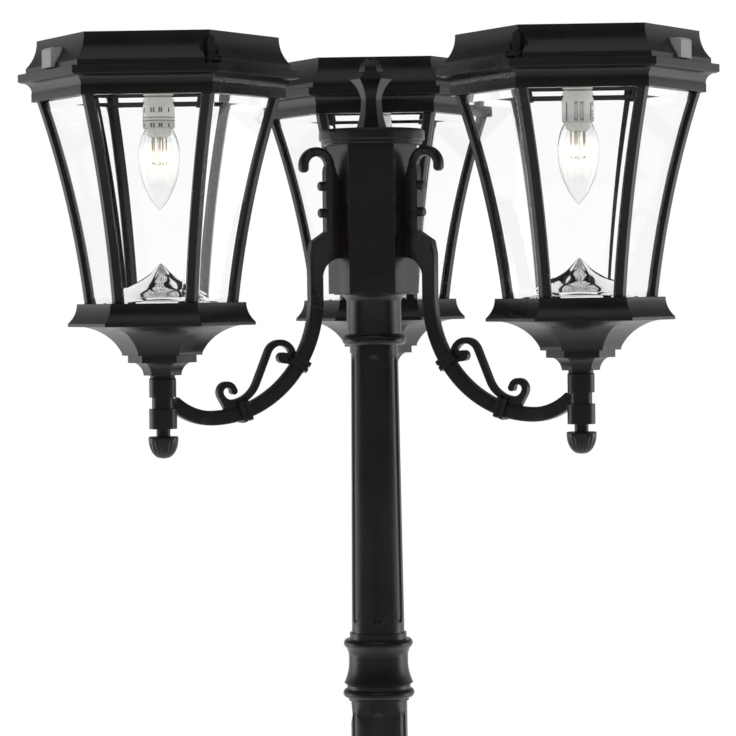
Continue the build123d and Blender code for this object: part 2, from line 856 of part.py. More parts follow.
def make_sleeve():
    """Spacer tube between the boss and the lantern's foot."""
    top = boss_top + sleeve_height
    with BuildPart() as sleeve:
        add(turned([(sleeve_radius, boss_top), (sleeve_radius, top - sleeve_step - sleeve_edge),
                    (sleeve_radius - sleeve_edge, top - sleeve_step),
                    (sleeve_radius - sleeve_edge, top)]))
        with BuildSketch(Plane.XY.offset(boss_top)):
            Circle(lamp_stud_radius + slip)
        extrude(amount=sleeve_height, mode=Mode.SUBTRACT)
    return sleeve.part.moved(Location((lamp_reach, 0, 0)))


def make_lamp_stud():
    """Threaded rod from inside the base pan down into the acorn nut, with its top nut."""
    floor = boss_top + sleeve_height + pan_floor_height
    low = boss_bottom - acorn_neck_height - acorn_height * 0.5
    high = floor + nut_height + thread_end
    with BuildPart() as stud:
        with BuildSketch(Plane.XY.offset(low)):
            Circle(lamp_stud_radius)
        extrude(amount=high - low)
        with BuildSketch(Plane.XY.offset(floor)):
            RegularPolygon(lamp_nut_radius, 6)
        extrude(amount=nut_height)
    return stud.part.moved(Location((lamp_reach, 0, 0)))


def make_acorn_nut():
    """Cap nut with a neck, a flat collar and a ribbed round end."""
    neck_top = boss_bottom
    cup = neck_top - acorn_neck_height
    with BuildPart() as acorn:
        add(turned([
            (blunt, cup - acorn_height),
            (acorn_radius * 0.72, cup - acorn_height * 0.66, -acorn_tip_bow),
            (acorn_radius - acorn_edge, cup - acorn_rim, -acorn_side_bow),
            (acorn_radius, cup - acorn_edge), (acorn_radius - acorn_edge, cup),
            (acorn_neck_radius, cup), (acorn_neck_radius, neck_top),
        ]))
        with PolarLocations(acorn_radius, acorn_ribs):
            with Locations((0, 0, cup - acorn_height * 0.45)):
                Cylinder(acorn_rib_radius, acorn_height * 0.5, mode=Mode.SUBTRACT)
        with BuildSketch(Plane.XY.offset(cup - acorn_height * 0.5 - slip)):
            Circle(lamp_stud_radius + slip)
        extrude(amount=acorn_height, mode=Mode.SUBTRACT)
    return acorn.part.moved(Location((lamp_reach, 0, 0)))


# ---------------------------------------------------------------- lantern

def make_base_pan():
    """Rim, coved pan, step and neck in one hollow casting."""
    with BuildPart() as pan:
        add(six_sided([
            (foot_radius, 0), (foot_cove_radius, step_bottom, foot_cove_bow),
            (step_radius, step_bottom), (step_radius, pan_cove_bottom),
            (pan_cove_radius, pan_cove_bottom), (pan_cove_radius, pan_cove_bottom + pan_cove_lip),
            (pan_top_radius, rim_bottom, pan_cove_bow), (rim_radius, rim_bottom),
            (rim_radius, rim_bottom + rim_lip), (rim_top_radius, rim_top, rim_bow),
        ]))
        add(six_sided([
            (foot_radius * 0.8, pan_floor_height),
            (pan_cove_radius - 1.5 * pan_wall, pan_cove_bottom + pan_wall),
            (pan_top_radius - 2 * pan_wall, rim_bottom + pan_wall / 2, pan_cove_bow),
            (pan_top_radius - 2 * pan_wall, rim_top - pan_wall),
        ]), mode=Mode.SUBTRACT)
        with BuildSketch(Plane.XY.offset(rim_top - 2 * pan_wall)):
            RegularPolygon(pan_mouth_radius, 6, rotation=30)
        extrude(amount=2 * pan_wall, mode=Mode.SUBTRACT)
        with BuildSketch(Plane.XY):
            Circle(lamp_stud_radius + slip)
        extrude(amount=rim_bottom, mode=Mode.SUBTRACT)
    return pan.part


def frame_arc(inset, squeeze):
    """Three points of the line that the frame's corners follow, moved inwards by the inset."""
    return [
        (mullion_top_radius * squeeze - inset, crown_bottom),
        (mullion_mid_radius * squeeze - inset, crown_bottom - mullion_mid_drop),
        (mullion_foot_radius * squeeze - inset, rim_top),
    ]


def curved_wall(inset, thick, squeeze, half_width):
    """Upright wall that follows the frame's arc, thick inwards, looking along +X."""
    outer, inner = frame_arc(inset, squeeze), frame_arc(inset + thick, squeeze)
    with BuildPart() as wall:
        with BuildSketch(Plane.XZ):
            with BuildLine():
                ThreePointArc(*outer)
                Line(outer[2], inner[2])
                ThreePointArc(*inner)
                Line(inner[0], outer[0])
            make_face()
        extrude(amount=half_width, both=True)
    return wall.part


def wedge_column(edge):
    """Upright column over one side of the lantern, its flanks an edge distance from the corners."""
    tip = edge / sin(radians(30))
    reach = brim_radius
    with BuildPart() as column:
        with BuildSketch(Plane.XY):
            with BuildLine():
                Polyline((tip, 0), (tip + reach, reach * tan(radians(30))),
                         (tip + reach, -reach * tan(radians(30))), close=True)
            make_face()
        extrude(amount=lid_top)
    return column.part


def make_panes():
    """Six bent panes, each behind the legs of two mullions."""
    with BuildPart() as pane:
        add(curved_wall(mullion_cap + seat_gap, pane_thick, flat, brim_radius))
        add(wedge_column(mullion_web / 2 + pane_edge_gap), mode=Mode.INTERSECT)
    with BuildPart() as panes:
        with PolarLocations(0, 6):
            add(pane.part)
    return panes.part


def make_mullions():
    """Six corner bars: an angled cap outside and a web between the panes."""
    leg_side = mullion_leg * flat
    with BuildPart() as leg:
        add(curved_wall(0, mullion_cap, flat, brim_radius))
        add(wedge_column(0), mode=Mode.INTERSECT)
        add(wedge_column(leg_side), mode=Mode.SUBTRACT)
    near = leg.part.solids().sort_by(Axis.Y)[-1].moved(Location((0, 0, 0), (0, 0, -30)))
    with BuildPart() as mullion:
        add(near)
        add(near.mirror(Plane.XZ))
        add(curved_wall(mullion_cap * 0.9, mullion_depth - mullion_cap, 1.0, mullion_web / 2))
    with BuildPart() as mullions:
        with PolarLocations(0, 6, start_angle=30):
            add(mullion.part)
    return mullions.part


def make_crown():
    """Band with a brim, open inside, and the lugs of the two latches."""
    with BuildPart() as crown:
        add(six_sided([
            (crown_low_radius, crown_bottom), (crown_low_radius, crown_bottom + crown_low_height),
            (brim_radius - brim_inset, brim_top - brim_height - brim_fillet, crown_bow),
            (brim_radius - brim_inset, brim_top - brim_height),
            (brim_radius, brim_top - brim_height),
            (brim_radius, brim_top),
        ]))
        add(hexagon_post(crown_bore_radius, crown_bottom, brim_top), mode=Mode.SUBTRACT)
        for turn in (90, 270):
            across = upright(turn)
            for side in (-1, 1):
                near = knuckle_width / 2 + lug_gap
                flank = across.offset(near if side > 0 else -near - lug_width)
                with BuildSketch(flank):
                    with Locations((knuckle_place, brim_top + knuckle_lift)):
                        Circle(knuckle_radius)
                    with Locations((knuckle_place, brim_top + knuckle_lift / 2)):
                        Rectangle(2 * knuckle_radius, knuckle_lift)
                extrude(amount=lug_width)
            with Locations(Location(across.offset(0))):
                with Locations((knuckle_place, brim_top + knuckle_lift, 0)):
                    Cylinder(pin_radius, notch_width, mode=Mode.SUBTRACT)
    return crown.part


def latch_outline_plane(turn, width):
    """Upright plane of a latch, shifted so that a solid of the width straddles the corner."""
    return upright(turn).offset(-width / 2)


def make_latch(turn):
    """Tab in the lid's notch, its foot and the knuckle that turns on the pin."""
    pivot = (knuckle_place, brim_top + knuckle_lift)
    tab_middle = latch_face + latch_thick / 2
    with BuildPart() as latch:
        with BuildSketch(latch_outline_plane(turn, latch_width)):
            with Locations((tab_middle, brim_top + (latch_height + knuckle_lift) / 2)):
                Rectangle(latch_thick, latch_height - knuckle_lift)
            with Locations(((latch_face + knuckle_place) / 2, brim_top + knuckle_lift)):
                Rectangle(knuckle_place - latch_face, latch_foot)
        extrude(amount=latch_width)
        across = [edge for edge in latch.edges().filter_by(Axis((0, 0, 0), upright(turn).x_dir))
                  if edge.center().Z > brim_top + latch_height - 0.01]
        fillet(across, latch_width / 2 - latch_tip_flat)
        with BuildSketch(latch_outline_plane(turn, knuckle_width)):
            with Locations(pivot):
                Circle(knuckle_radius)
        extrude(amount=knuckle_width)
        with BuildSketch(latch_outline_plane(turn, knuckle_width)):
            with Locations(pivot):
                Circle(pin_radius + pin_gap)
        extrude(amount=knuckle_width, mode=Mode.SUBTRACT)
    return latch.part


def make_latch_pins():
    """The two hinge pins of one lantern."""
    length = knuckle_width + 2 * (lug_gap + lug_width + pin_head)
    with BuildPart() as pins:
        for turn in (90, 270):
            with BuildSketch(latch_outline_plane(turn, length)):
                with Locations((knuckle_place, brim_top + knuckle_lift)):
                    Circle(pin_radius)
            extrude(amount=length)
    return pins.part


def make_reflector():
    """Bright hollow cone with a flat rim, standing on the pan."""
    base = rim_top
    tip = base + reflector_height
    fold, middle, neck = cone_radii
    fold_z, middle_z, neck_z = [base + height for height in cone_heights]
    outer = [
        (reflector_radius, base), (reflector_radius, base + reflector_rim), (fold, fold_z),
        (middle, middle_z, -cone_bow), (neck, neck_z), (blunt, tip, -cone_bow),
    ]
    inner = [
        (fold, base), (fold, fold_z - reflector_wall),
        (middle, middle_z - reflector_wall, -cone_bow), (neck, neck_z - reflector_wall),
        (blunt, tip - 2 * reflector_wall),
    ]
    with BuildPart() as reflector:
        add(turned(outer))
        add(turned(inner), mode=Mode.SUBTRACT)
    return reflector.part


# ---------------------------------------------------------------- lid

def window_box(grow):
    """Block over the outward face where the sensor window sits, grown for clearance."""
    low, high = brim_top + window_low, brim_top + window_top
    with BuildPart() as block:
        with BuildSketch(Plane.XY.offset(low)):
            with Locations(((window_pocket + window_face) / 2, 0)):
                Rectangle(window_face - window_pocket, window_width + 2 * grow)
        extrude(amount=high - low + grow)
    return block.part


def make_lid():
    """Coved six-sided roof over a flange, hollow below and recessed on top for the panel."""
    with BuildPart() as lid:
        add(six_sided([
            (lid_radius, brim_top), (lid_radius, brim_top + lid_flange),
            (lid_top_radius, lid_top, lid_bow),
        ]))
        add(hexagon_post(cavity_radius, brim_top, cavity_top), mode=Mode.SUBTRACT)
        add(hexagon_post(panel_radius + seat_gap, lid_top - panel_recess, lid_top),
            mode=Mode.SUBTRACT)
        add(window_box(seat_gap), mode=Mode.SUBTRACT)
        for turn in (90, 270):
            for width, low in ((notch_low_width, brim_top), (notch_width, brim_top + notch_step)):
                with BuildSketch(upright(turn).offset(-width / 2)):
                    with BuildLine():
                        Polyline((notch_floor, low), (brim_radius, low),
                                 (brim_radius, brim_top + notch_top),
                                 (notch_floor, brim_top + notch_top), close=True)
                    make_face()
                extrude(amount=width, mode=Mode.SUBTRACT)
    return lid.part


def make_solar_panel():
    """Dark glass plate in the roof's recess."""
    low = lid_top - panel_recess
    return hexagon_post(panel_radius, low, low + panel_thick)


def make_sensor_window():
    """Frosted block with a slanted top, in the lid's pocket."""
    with BuildPart() as window:
        add(window_box(0))
        top = window.edges().filter_by(Axis.Y).group_by(Axis.Z)[-1].sort_by(Axis.X)[-1]
        chamfer(top, window_slant)
    return window.part


def make_inner_cover():
    """Tray under the lid that closes its hollow, with a lip that fits inside it."""
    low = brim_top - cover_drop
    lip = brim_top + cover_lip_rise
    with BuildPart() as cover:
        add(hexagon_post(cover_radius, low, lip))
        add(hexagon_post(cavity_radius, lip, lip + cover_lip_height))
        add(hexagon_post(cover_radius - cover_wall, low + cover_wall, lip + cover_lip_height),
            mode=Mode.SUBTRACT)
        with Locations((0, 0, low + cover_wall)):
            Hole(wire_hole_radius, depth=cover_wall)
    return cover.part


def make_power_pack():
    """Cell box on the tray's floor and the charge board on top of it."""
    floor = brim_top - cover_drop + cover_wall
    with BuildPart() as pack:
        with BuildSketch(Plane.XY.offset(floor)):
            RectangleRounded(pack_length, pack_width, pack_round)
        extrude(amount=pack_height)
        with BuildSketch(Plane.XY.offset(floor + pack_height)):
            RectangleRounded(board_length, board_width, board_round)
        extrude(amount=board_thick)
    return pack.part


def make_bulb_holder():
    """Flange against the tray and a ribbed cup that takes the bulb's cap."""
    flange_low = socket_top - socket_flange
    cup_low = flange_low - socket_length
    with BuildPart() as holder:
        add(turned([
            (socket_radius - socket_edge, cup_low), (socket_radius, cup_low + socket_edge_height),
            (socket_radius, flange_low), (socket_flange_radius, flange_low),
            (socket_flange_radius, socket_top),
        ]))
        with PolarLocations(socket_radius, socket_ribs):
            with Locations((0, 0, flange_low - socket_length * 0.45)):
                Cylinder(socket_rib_radius, socket_length * 0.7, mode=Mode.SUBTRACT)
        with BuildSketch(Plane.XY.offset(cup_low)):
            Circle(bulb_neck_radius + thread_gap)
        extrude(amount=bulb_neck - cup_low + thread_gap, mode=Mode.SUBTRACT)
        with BuildSketch(Plane.XY.offset(bulb_neck)):
            Circle(bulb_cap_radius + thread_gap)
        extrude(amount=bulb_cap_length, mode=Mode.SUBTRACT)
    return holder.part


def make_bulb():
    """Hollow candle bulb: metal cap up in the holder, glass with its point down."""
    belly = bulb_neck - bulb_belly
    tip = bulb_neck - bulb_length
    point = tip + bulb_point_height
    glass_top = bulb_neck - bulb_seat - bulb_collar
    cap_shoulder = bulb_neck + bulb_cap_length - bulb_cap_taper
    cap_end = bulb_neck + bulb_cap_length
    with BuildPart() as bulb:
        add(turned([
            (blunt, tip), (bulb_point_radius, point, -bulb_point_bow),
            (bulb_radius, belly, -bulb_side_bow), (bulb_neck_radius, glass_top, -bulb_top_bow),
            (bulb_neck_radius, bulb_neck), (bulb_cap_radius, bulb_neck),
            (bulb_cap_radius, cap_shoulder), (bulb_contact_radius, cap_end),
        ]))
        add(turned([
            (blunt, tip + bulb_wall), (bulb_point_radius - bulb_wall, point, -bulb_point_bow),
            (bulb_radius - bulb_wall, belly, -bulb_side_bow),
            (bulb_cap_radius - bulb_wall, glass_top, -bulb_top_bow),
            (bulb_cap_radius - bulb_wall, cap_shoulder),
            (bulb_vent, cap_end - bulb_wall), (bulb_vent, cap_end),
        ]), mode=Mode.SUBTRACT)
    return bulb.part


# ---------------------------------------------------------------- write every piece

write(make_base(), "base_casting")
write(make_pole(base_plate, lower_joint, base_height, base_height + lower_pole_length,
                lower_pole_foot, lower_pole_top), "lower_pole")
write(make_pole(lower_joint, upper_joint, middle_start, middle_start + middle_pole_length,
                middle_pole_foot, middle_pole_top), "middle_pole")
write(make_pole(upper_joint, neck_bottom + torus_height + neck_height, upper_start, neck_bottom,
                upper_pole_foot, upper_pole_top), "upper_pole")
write(make_collar(lower_joint, lower_pole_top, middle_pole_foot), "lower_collar")
write(make_collar(upper_joint, middle_pole_top, upper_pole_foot), "upper_collar")
with BuildPart() as couplers:
    add(make_coupler(lower_joint, lower_pole_top, middle_pole_top))
    add(make_coupler(upper_joint, middle_pole_top, upper_pole_top))
write(couplers.part, "pole_couplers")
write(make_hub(), "hub_body")
write(make_cap(), "hub_cap")
write(make_finial(), "finial")
write(make_finial_stud(), "finial_stud")

bolt_places = {
    (name, depth): place * Location((0, 0, -depth))
    for name, place in arm_places.items() for depth in bolt_depths
}
write_together(make_arm_bolt(), bolt_places, "arm_bolts")

write_each(make_arm(), arm_places, "arm")
write_together(make_scroll(make_bar()), arm_places, "scrolls")
write_together(make_sleeve(), arm_places, "support_sleeves")
write_together(make_lamp_stud(), arm_places, "lamp_studs")
write_together(make_acorn_nut(), arm_places, "acorn_nuts")

write_each(make_base_pan(), lamp_places, "base_pan")
write_each(make_mullions(), lamp_places, "mullions")
write_each(make_panes(), lamp_places, "glass_panes")
write_each(make_crown(), lamp_places, "crown_band")
write_together(make_reflector(), lamp_places, "reflectors")
write_together(make_latch_pins(), lamp_places, "latch_pins")
write_each(make_latch(90), lamp_places, "latch_a")
write_each(make_latch(270), lamp_places, "latch_b")

write_each(make_lid(), lamp_places, "lid")
write_each(make_solar_panel(), lamp_places, "solar_panel")
write_each(make_sensor_window(), lamp_places, "sensor_window")
write_each(make_inner_cover(), lamp_places, "inner_cover")
write_each(make_power_pack(), lamp_places, "power_pack")
write_each(make_bulb_holder(), lamp_places, "bulb_holder")
write_each(make_bulb(), lamp_places, "bulb")
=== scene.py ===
import logging
import math
from abc import ABC, abstractmethod
from collections.abc import Callable
from dataclasses import dataclass, field
from enum import Enum

import bpy
import numpy as np
from mathutils import Euler, Matrix, Vector


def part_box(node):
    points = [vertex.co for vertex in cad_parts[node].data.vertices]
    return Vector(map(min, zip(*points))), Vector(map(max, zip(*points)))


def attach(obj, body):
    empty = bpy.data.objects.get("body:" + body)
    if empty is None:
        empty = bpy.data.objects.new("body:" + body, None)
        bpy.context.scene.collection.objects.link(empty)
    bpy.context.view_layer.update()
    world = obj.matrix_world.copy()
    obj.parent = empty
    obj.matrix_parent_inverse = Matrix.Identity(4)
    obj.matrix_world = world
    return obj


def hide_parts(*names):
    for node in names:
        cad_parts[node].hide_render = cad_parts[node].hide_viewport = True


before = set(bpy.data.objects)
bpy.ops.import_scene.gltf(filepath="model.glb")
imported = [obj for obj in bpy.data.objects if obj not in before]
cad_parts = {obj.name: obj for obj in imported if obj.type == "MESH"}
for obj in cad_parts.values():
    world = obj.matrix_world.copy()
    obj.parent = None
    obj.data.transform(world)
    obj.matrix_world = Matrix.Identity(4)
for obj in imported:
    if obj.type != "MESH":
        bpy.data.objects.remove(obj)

# The dressed look of a garden lamp post with three six-sided lanterns. Metres, +Z up.
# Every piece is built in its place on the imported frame. Where a solid is plain, a
# finer surface stands for it, worked out from that solid's box.

log = logging.getLogger("lamp_post")

Socket = bpy.types.NodeSocket
Array = np.ndarray

MM = 0.001
NIL = 1e-9
SIXTH = math.radians(60)
WHITE = (1.0, 1.0, 1.0, 1.0)


class Side(Enum):
    """The three lanterns, by the name of their arm."""

    LEFT = "left"
    RIGHT = "right"
    REAR = "rear"


class Rays(Enum):
    """Kinds of ray that sky and floor answer differently."""

    CAMERA = "Is Camera Ray"
    THROUGH_GLASS = "Is Transmission Ray"
    MIRRORED = "Is Glossy Ray"


# ---- node graphs

class Graph:
    """A material's or the world's node tree, with short ways to add and join nodes."""

    def __init__(self, tree: bpy.types.NodeTree) -> None:
        """Empties the tree, to be filled anew."""
        self.tree = tree
        self.tree.nodes.clear()

    def add(self, kind: str, *values: object, settings: dict | None = None,
            **inputs: object) -> bpy.types.Node:
        """Adds a node.

        Args:
            kind: the node's type without its ShaderNode prefix.
            values: values or sockets for its first inputs.
            settings: values of the node's own properties.
            inputs: values or sockets for inputs by name, spaces as underscores.

        Returns:
            The new node.
        """
        node = self.tree.nodes.new("ShaderNode" + kind)
        for key, value in (settings or {}).items():
            setattr(node, key, value)
        for place, value in enumerate(values):
            self.feed(node.inputs[place], value)
        for key, value in inputs.items():
            self.feed(node.inputs[key.replace("_", " ")], value)
        return node

    def feed(self, socket: Socket, value: object) -> None:
        """Links a socket into another, or sets its value.

        Args:
            socket: the input to fill.
            value: an output socket or a plain value.
        """
        if isinstance(value, Socket):
            self.tree.links.new(value, socket)
        else:
            socket.default_value = value

    def math(self, operation: str, first: object, second: object) -> Socket:
        """The result of a math node, by Blender's name of its operation."""
        return self.add("Math", first, second, settings={"operation": operation}).outputs[0]

    def product(self, first: object, *others: object) -> Socket:
        """The values or sockets multiplied together."""
        for other in others:
            first = self.math("MULTIPLY", first, other)
        return first

    def ramp(self, value: object, ends: tuple, results: tuple = (0.0, 1.0)) -> Socket:
        """The value remapped, so that it gives the results at the ends and past them."""
        return self.add("MapRange", value, *ends, *results).outputs["Result"]

    def spread(self, noise: Socket, span: tuple, reach: float = 0.2) -> Socket:
        """Noise remapped to a span, whose ends it meets at one half less and plus the reach."""
        return self.ramp(noise, (0.5 - reach, 0.5 + reach), span)

    def band(self, value: object, rise: tuple, fall: tuple) -> Socket:
        """1 between two edges and 0 outside them; rise and fall are each edge's own ends."""
        return self.product(self.ramp(value, rise), self.ramp(value, fall, (1.0, 0.0)))

    def blend(self, share: object, first: object, second: object) -> Socket:
        """Mixes two colours.

        Args:
            share: how much of the second, 0 to 1.
            first: colour or socket.
            second: colour or socket.

        Returns:
            The mixed colour's socket.
        """
        node = self.add("Mix", share, settings={"data_type": "RGBA"})
        self.feed(node.inputs[6], first)
        self.feed(node.inputs[7], second)
        return node.outputs[2]

    def noise(self, scale: float, detail: float = 2.0) -> Socket:
        """Noise on object coordinates, with scale features in a metre and finer layers."""
        place = self.add("TexCoord").outputs["Object"]
        return self.add("TexNoise", Vector=place, Scale=scale, Detail=detail).outputs[0]

    def surface(self, **inputs: object) -> Socket:
        """The principled shader with these inputs."""
        return self.add("BsdfPrincipled", **inputs).outputs[0]

    def rounded(self, radius: float) -> Socket:
        """The normal, as if the edges had this radius."""
        return self.add("Bevel", settings={"samples": 4}, Radius=radius).outputs[0]

    def bump(self, height: Socket, depth: float, strength: float, **inputs: object) -> Socket:
        """The normal bumped by a height from 0 to 1, which stands for the depth in metres."""
        return self.add("Bump", Height=height, Distance=depth, Strength=strength,
                        **inputs).outputs[0]

    def uv(self) -> tuple:
        """The sockets of the two places in the mesh's own UV map."""
        split = self.add("SeparateXYZ", self.add("UVMap").outputs[0])
        return split.outputs[0], split.outputs[1]


# ---- finishes

def scaled(colour: tuple, factor: float) -> tuple:
    """The colour times a factor, with no channel over one."""
    return tuple(min(1.0, factor * channel) for channel in colour[:3]) + (1.0,)


@dataclass(frozen=True)
class Finish(ABC):
    """A surface finish; each makes one material that its pieces share.

    slot names the record's material slot for pieces with this finish; it is not used here. A depth
    is the height of the bump in metres and a scale is the number of its features in a metre.
    """

    name: str
    slot: str

    def material(self) -> bpy.types.Material:
        """The finish's material, built when it is first asked for."""
        made = bpy.data.materials.get(self.name)
        if made is None:
            made = bpy.data.materials.new(self.name)
            made.use_nodes = True
            graph = Graph(made.node_tree)
            shader = self.shade(graph)
            graph.add("OutputMaterial", Surface=shader)
        return made

    @abstractmethod
    def shade(self, graph: Graph) -> Socket:
        """Builds the finish's nodes.

        Args:
            graph: the material's empty node tree.

        Returns:
            The surface shader's socket.
        """


@dataclass(frozen=True)
class PowderCoat(Finish):
    """Baked satin coat: fine orange peel, slow mottling and a painted highlight on sharp edges.

    highlight_turn holds the cosines, from the rounded normal to the flat one, at which the
    painted edge highlight is whole and at which it is gone.
    """

    colour: tuple = (0.0160, 0.0132, 0.0106, 1.0)
    # Colour of the painted highlight on sharp edges.
    edge_highlight_colour: tuple = (0.036, 0.032, 0.028, 1.0)
    roughness: tuple = (0.24, 0.34)
    peel_scale: float = 1100.0
    peel_depth: float = 0.00003
    mottle_scale: float = 23.0
    mottle_span: tuple = (0.8, 1.25)
    edge_radius: float = 0.0009
    highlight_turn: tuple = (0.90, 0.995)
    highlight_scale: float = 180.0
    highlight_least: float = 0.35

    def shade(self, graph: Graph) -> Socket:
        """Coat over rounded edges, with the peel as bump. See Finish.shade."""
        edge = graph.rounded(self.edge_radius)
        turn = graph.add("VectorMath", edge, graph.add("NewGeometry").outputs["Normal"],
                         settings={"operation": "DOT_PRODUCT"})
        # Painted highlight: the paler edge colour where the rounded normal turns off the flat one,
        # broken up by noise.
        painted_highlight = graph.product(
            graph.ramp(turn.outputs["Value"], self.highlight_turn, (1.0, 0.0)),
            graph.spread(graph.noise(self.highlight_scale), (self.highlight_least, 1.0), 0.15))
        mottle = graph.noise(self.mottle_scale, 5.0)
        dark, light = (scaled(self.colour, factor) for factor in self.mottle_span)
        body = graph.blend(graph.spread(mottle, (0.0, 1.0), 0.15), dark, light)
        return graph.surface(
            Base_Color=graph.blend(painted_highlight, body, self.edge_highlight_colour),
            Roughness=graph.spread(mottle, self.roughness),
            Normal=graph.bump(graph.noise(self.peel_scale), self.peel_depth, 0.5, Normal=edge))


@dataclass(frozen=True)
class BareMetal(Finish):
    """Plain metal with faint scratches or ripples; dull is its darkest share of the colour."""

    colour: tuple = (0.62, 0.62, 0.62, 1.0)
    roughness: tuple = (0.2, 0.3)
    dull: float = 0.85
    grain_scale: float = 300.0
    grain_depth: float = 0.00002

    def shade(self, graph: Graph) -> Socket:
        """Metal with the grain in its colour, roughness and bump. See Finish.shade."""
        grain = graph.noise(self.grain_scale, 4.0)
        return graph.surface(
            Base_Color=graph.blend(graph.spread(grain, (0.0, 1.0), 0.1),
                                   scaled(self.colour, self.dull), self.colour),
            Metallic=1.0, Roughness=graph.spread(grain, self.roughness),
            Normal=graph.bump(grain, self.grain_depth, 0.4))


@dataclass(frozen=True)
class ClearGlass(Finish):
    """Clear glass whose shadow lets the light through, with a slow ripple."""

    tint: tuple = (0.985, 0.992, 0.99, 1.0)
    shadow: tuple = (0.93, 0.94, 0.94, 1.0)
    ior: float = 1.46
    ripple_scale: float = 14.0
    ripple_depth: float = 0.0002

    def shade(self, graph: Graph) -> Socket:
        """Glass for the eye, tinted air for shadows. See Finish.shade."""
        ripple = graph.bump(graph.noise(self.ripple_scale, 1.0), self.ripple_depth, 0.35)
        glass = graph.surface(Base_Color=self.tint, Roughness=0.0, IOR=self.ior,
                              Transmission_Weight=1.0, Normal=ripple, **self.own_light(graph))
        air = graph.add("BsdfTransparent", Color=self.shadow).outputs[0]
        shadow = graph.add("LightPath").outputs["Is Shadow Ray"]
        return graph.add("MixShader", shadow, glass, air).outputs[0]

    def own_light(self, graph: Graph) -> dict:
        """The shader's inputs for light that the glass gives off: none here."""
        return {}


@dataclass(frozen=True)
class LitGlass(ClearGlass):
    """Bulb glass that glows where the filaments stand, by the height in its own UV map."""

    glow: tuple = (1.0, 0.86, 0.62, 1.0)
    strength: float = 0.08
    rise: tuple = (0.28, 0.58)
    fall: tuple = (0.64, 0.78)

    def own_light(self, graph: Graph) -> dict:
        """A soft band of light, faded towards the tip and the neck. See ClearGlass.own_light."""
        band = graph.band(graph.uv()[1], self.rise, self.fall)
        return {"Emission_Color": self.glow,
                "Emission_Strength": graph.product(band, self.strength)}


@dataclass(frozen=True)
class FrostedPlastic(Finish):
    """Milky moulded plastic that lets some light through, and may have a painted glow for a bulb
    inside it.

    Where walls stand within slot_reach, painted shade darkens it towards slot_shade of its
    colour, as the share of open space falls from slot_open's second value to its first.
    """

    colour: tuple = (0.82, 0.84, 0.81, 1.0)
    glow: tuple = (1.0, 0.99, 0.95, 1.0)
    transmission: float = 0.75
    ior: float = 1.49
    roughness: tuple = (0.3, 0.36)
    # Strength of the painted glow that stands in for the light of a bulb inside.
    painted_glow_strength: float = 0.0
    haze_scale: float = 28.0
    haze_pale: float = 1.12
    slot_reach: float = 0.003
    slot_shade: float = 0.12
    slot_open: tuple = (0.45, 0.9)
    edge_radius: float = 0.0006

    def shade(self, graph: Graph) -> Socket:
        """Rough translucent plastic with moulding haze, painted shade in its slots. See
        Finish.shade.
        """
        haze = graph.noise(self.haze_scale, 1.0)
        # Painted shade: near walls, as in the slots, the colour and the glow darken towards
        # slot_shade of the colour.
        space = graph.add("AmbientOcclusion", settings={"samples": 8}, Distance=self.slot_reach)
        out = graph.ramp(space.outputs["AO"], self.slot_open)
        deep = scaled(self.colour, self.slot_shade)
        body = graph.blend(haze, self.colour, scaled(self.colour, self.haze_pale))
        return graph.surface(
            Base_Color=graph.blend(out, deep, body), IOR=self.ior,
            Roughness=graph.spread(haze, self.roughness), Transmission_Weight=self.transmission,
            Emission_Color=graph.blend(out, deep, self.glow), Emission_Strength=self.painted_glow_strength,
            Normal=graph.rounded(self.edge_radius))


@dataclass(frozen=True)
class GlowingRod(Finish):
    """Filament rod: its pale resin coat glows over the lower part of its length."""

    coat: tuple = (0.74, 0.58, 0.42, 1.0)
    light: tuple = (1.0, 0.90, 0.70, 1.0)
    strength: float = 1.8
    rise: tuple = (0.03, 0.12)
    fall: tuple = (0.22, 0.46)
    bead_scale: float = 900.0
    bead_span: tuple = (0.7, 1.0)

    def shade(self, graph: Graph) -> Socket:
        """Pale resin with the light faded at both ends. See Finish.shade."""
        power = graph.product(graph.band(graph.uv()[1], self.rise, self.fall), self.strength,
                              graph.spread(graph.noise(self.bead_scale), self.bead_span))
        return graph.surface(Base_Color=self.coat, Roughness=0.45, Emission_Color=self.light,
                             Emission_Strength=power)


@dataclass(frozen=True)
class SolarCells(Finish):
    """Dark cells under glass, with their gaps, collector bars and fine fingers, on the UV map."""

    cell: tuple = (0.006, 0.010, 0.026, 1.0)
    cell_pale: tuple = (0.012, 0.018, 0.045, 1.0)
    gap: tuple = (0.11, 0.115, 0.12, 1.0)
    bar: tuple = (0.45, 0.46, 0.47, 1.0)
    cell_long: float = 0.052
    cell_short: float = 0.026
    gap_width: float = 0.0016
    bar_pitch: float = 0.013
    bar_width: float = 0.0009
    finger_pitch: float = 0.0021
    finger_width: float = 0.00035
    finger_share: float = 0.28

    def lines(self, graph: Graph, place: Socket, pitch: float, width: float) -> Socket:
        """1 on lines of this width at every pitch of the place, 0 between them."""
        return graph.math("LESS_THAN", graph.math("PINGPONG", place, pitch / 2), width / 2)

    def shade(self, graph: Graph) -> Socket:
        """Cells, gaps, bars and fingers under a clear coat. See Finish.shade."""
        across, along = graph.uv()
        gaps = graph.math("MAXIMUM", self.lines(graph, across, self.cell_long, self.gap_width),
                          self.lines(graph, along, self.cell_short, self.gap_width))
        bars = self.lines(graph, graph.math("ADD", across, self.bar_pitch / 2), self.bar_pitch,
                          self.bar_width)
        fingers = self.lines(graph, along, self.finger_pitch, self.finger_width)
        shade = graph.blend(graph.spread(graph.noise(40.0), (0.0, 0.5), 0.15), self.cell,
                            self.cell_pale)
        for mask, colour in ((graph.product(fingers, self.finger_share), self.bar),
                             (bars, self.bar), (gaps, self.gap)):
            shade = graph.blend(mask, shade, colour)
        return graph.surface(Base_Color=shade, Roughness=0.35, Coat_Weight=1.0,
                             Coat_Roughness=0.04)


